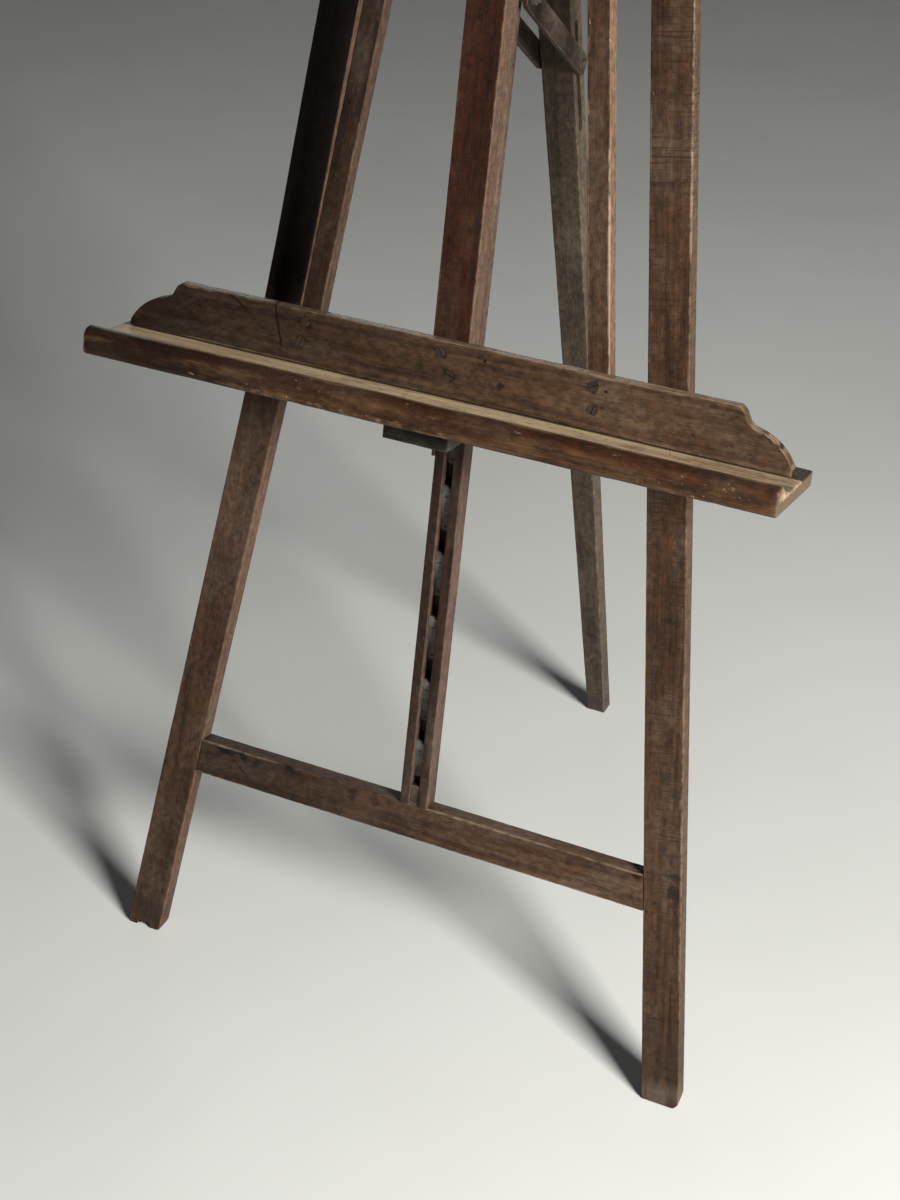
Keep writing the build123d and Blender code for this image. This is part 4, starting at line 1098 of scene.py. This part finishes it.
# ---------- camera
# Angles in radians, the place in metres; CAMERA_BACK counts from the easel's front edge.
yaw, pitch, roll = 0.4093, 0.5743, -0.0309
CAMERA_X, CAMERA_BACK, CAMERA_UP, LENS_MM = 0.6883, -1.4553, 1.5764, 60.987
right0 = Vector((math.cos(yaw), math.sin(yaw), 0))
ahead0 = Vector((-math.sin(yaw), math.cos(yaw), 0))
up0 = Vector((0, 0, 1))
ahead = ahead0 * math.cos(pitch) - up0 * math.sin(pitch)
down = -(up0 * math.cos(pitch) + ahead0 * math.sin(pitch))
cam_x = right0 * math.cos(roll) + down * math.sin(roll)
cam_down = -right0 * math.sin(roll) + down * math.cos(roll)
camera = bpy.data.objects.new("camera", bpy.data.cameras.new("camera"))
bpy.context.scene.collection.objects.link(camera)
pose = Matrix((cam_x, -cam_down, -ahead)).transposed().to_4x4()
pose.translation = (CAMERA_X, front_edge + CAMERA_BACK, CAMERA_UP)
camera.matrix_world = pose
camera.data.lens = LENS_MM
camera.data.sensor_width = 36
bpy.context.scene.camera = camera

# ---------- light
world = bpy.data.worlds.new("studio")
bpy.context.scene.world = world
world.use_nodes = True
background = world.node_tree.nodes["Background"]
background.inputs["Color"].default_value = (0.92, 0.96, 1.0, 1)
background.inputs["Strength"].default_value = 0.045


def lamp(name, energy, size, spot, target, colour):
    """A square area light at spot, aimed at target."""
    data = bpy.data.lights.new(name, "AREA")
    data.energy = energy
    data.size = size
    data.color = colour
    obj = bpy.data.objects.new(name, data)
    bpy.context.scene.collection.objects.link(obj)
    obj.location = spot
    obj.rotation_euler = (Vector(target) - Vector(spot)).to_track_quat("-Z", "Y").to_euler()
    return obj


lamp("window", 258.0, 1.05, (2.82, -1.8, 2.15), (0.0, 0.0, 0.35), (1.0, 0.99, 0.965))
back_fill = lamp("back_fill", 9.0, 1.2, (-1.2, 2.3, 1.25), (0.0, 0.2, 1.85), (0.93, 0.96, 1.0))
back_fill.data.spread = 1.3

bpy.context.scene.view_settings.view_transform = "Standard"
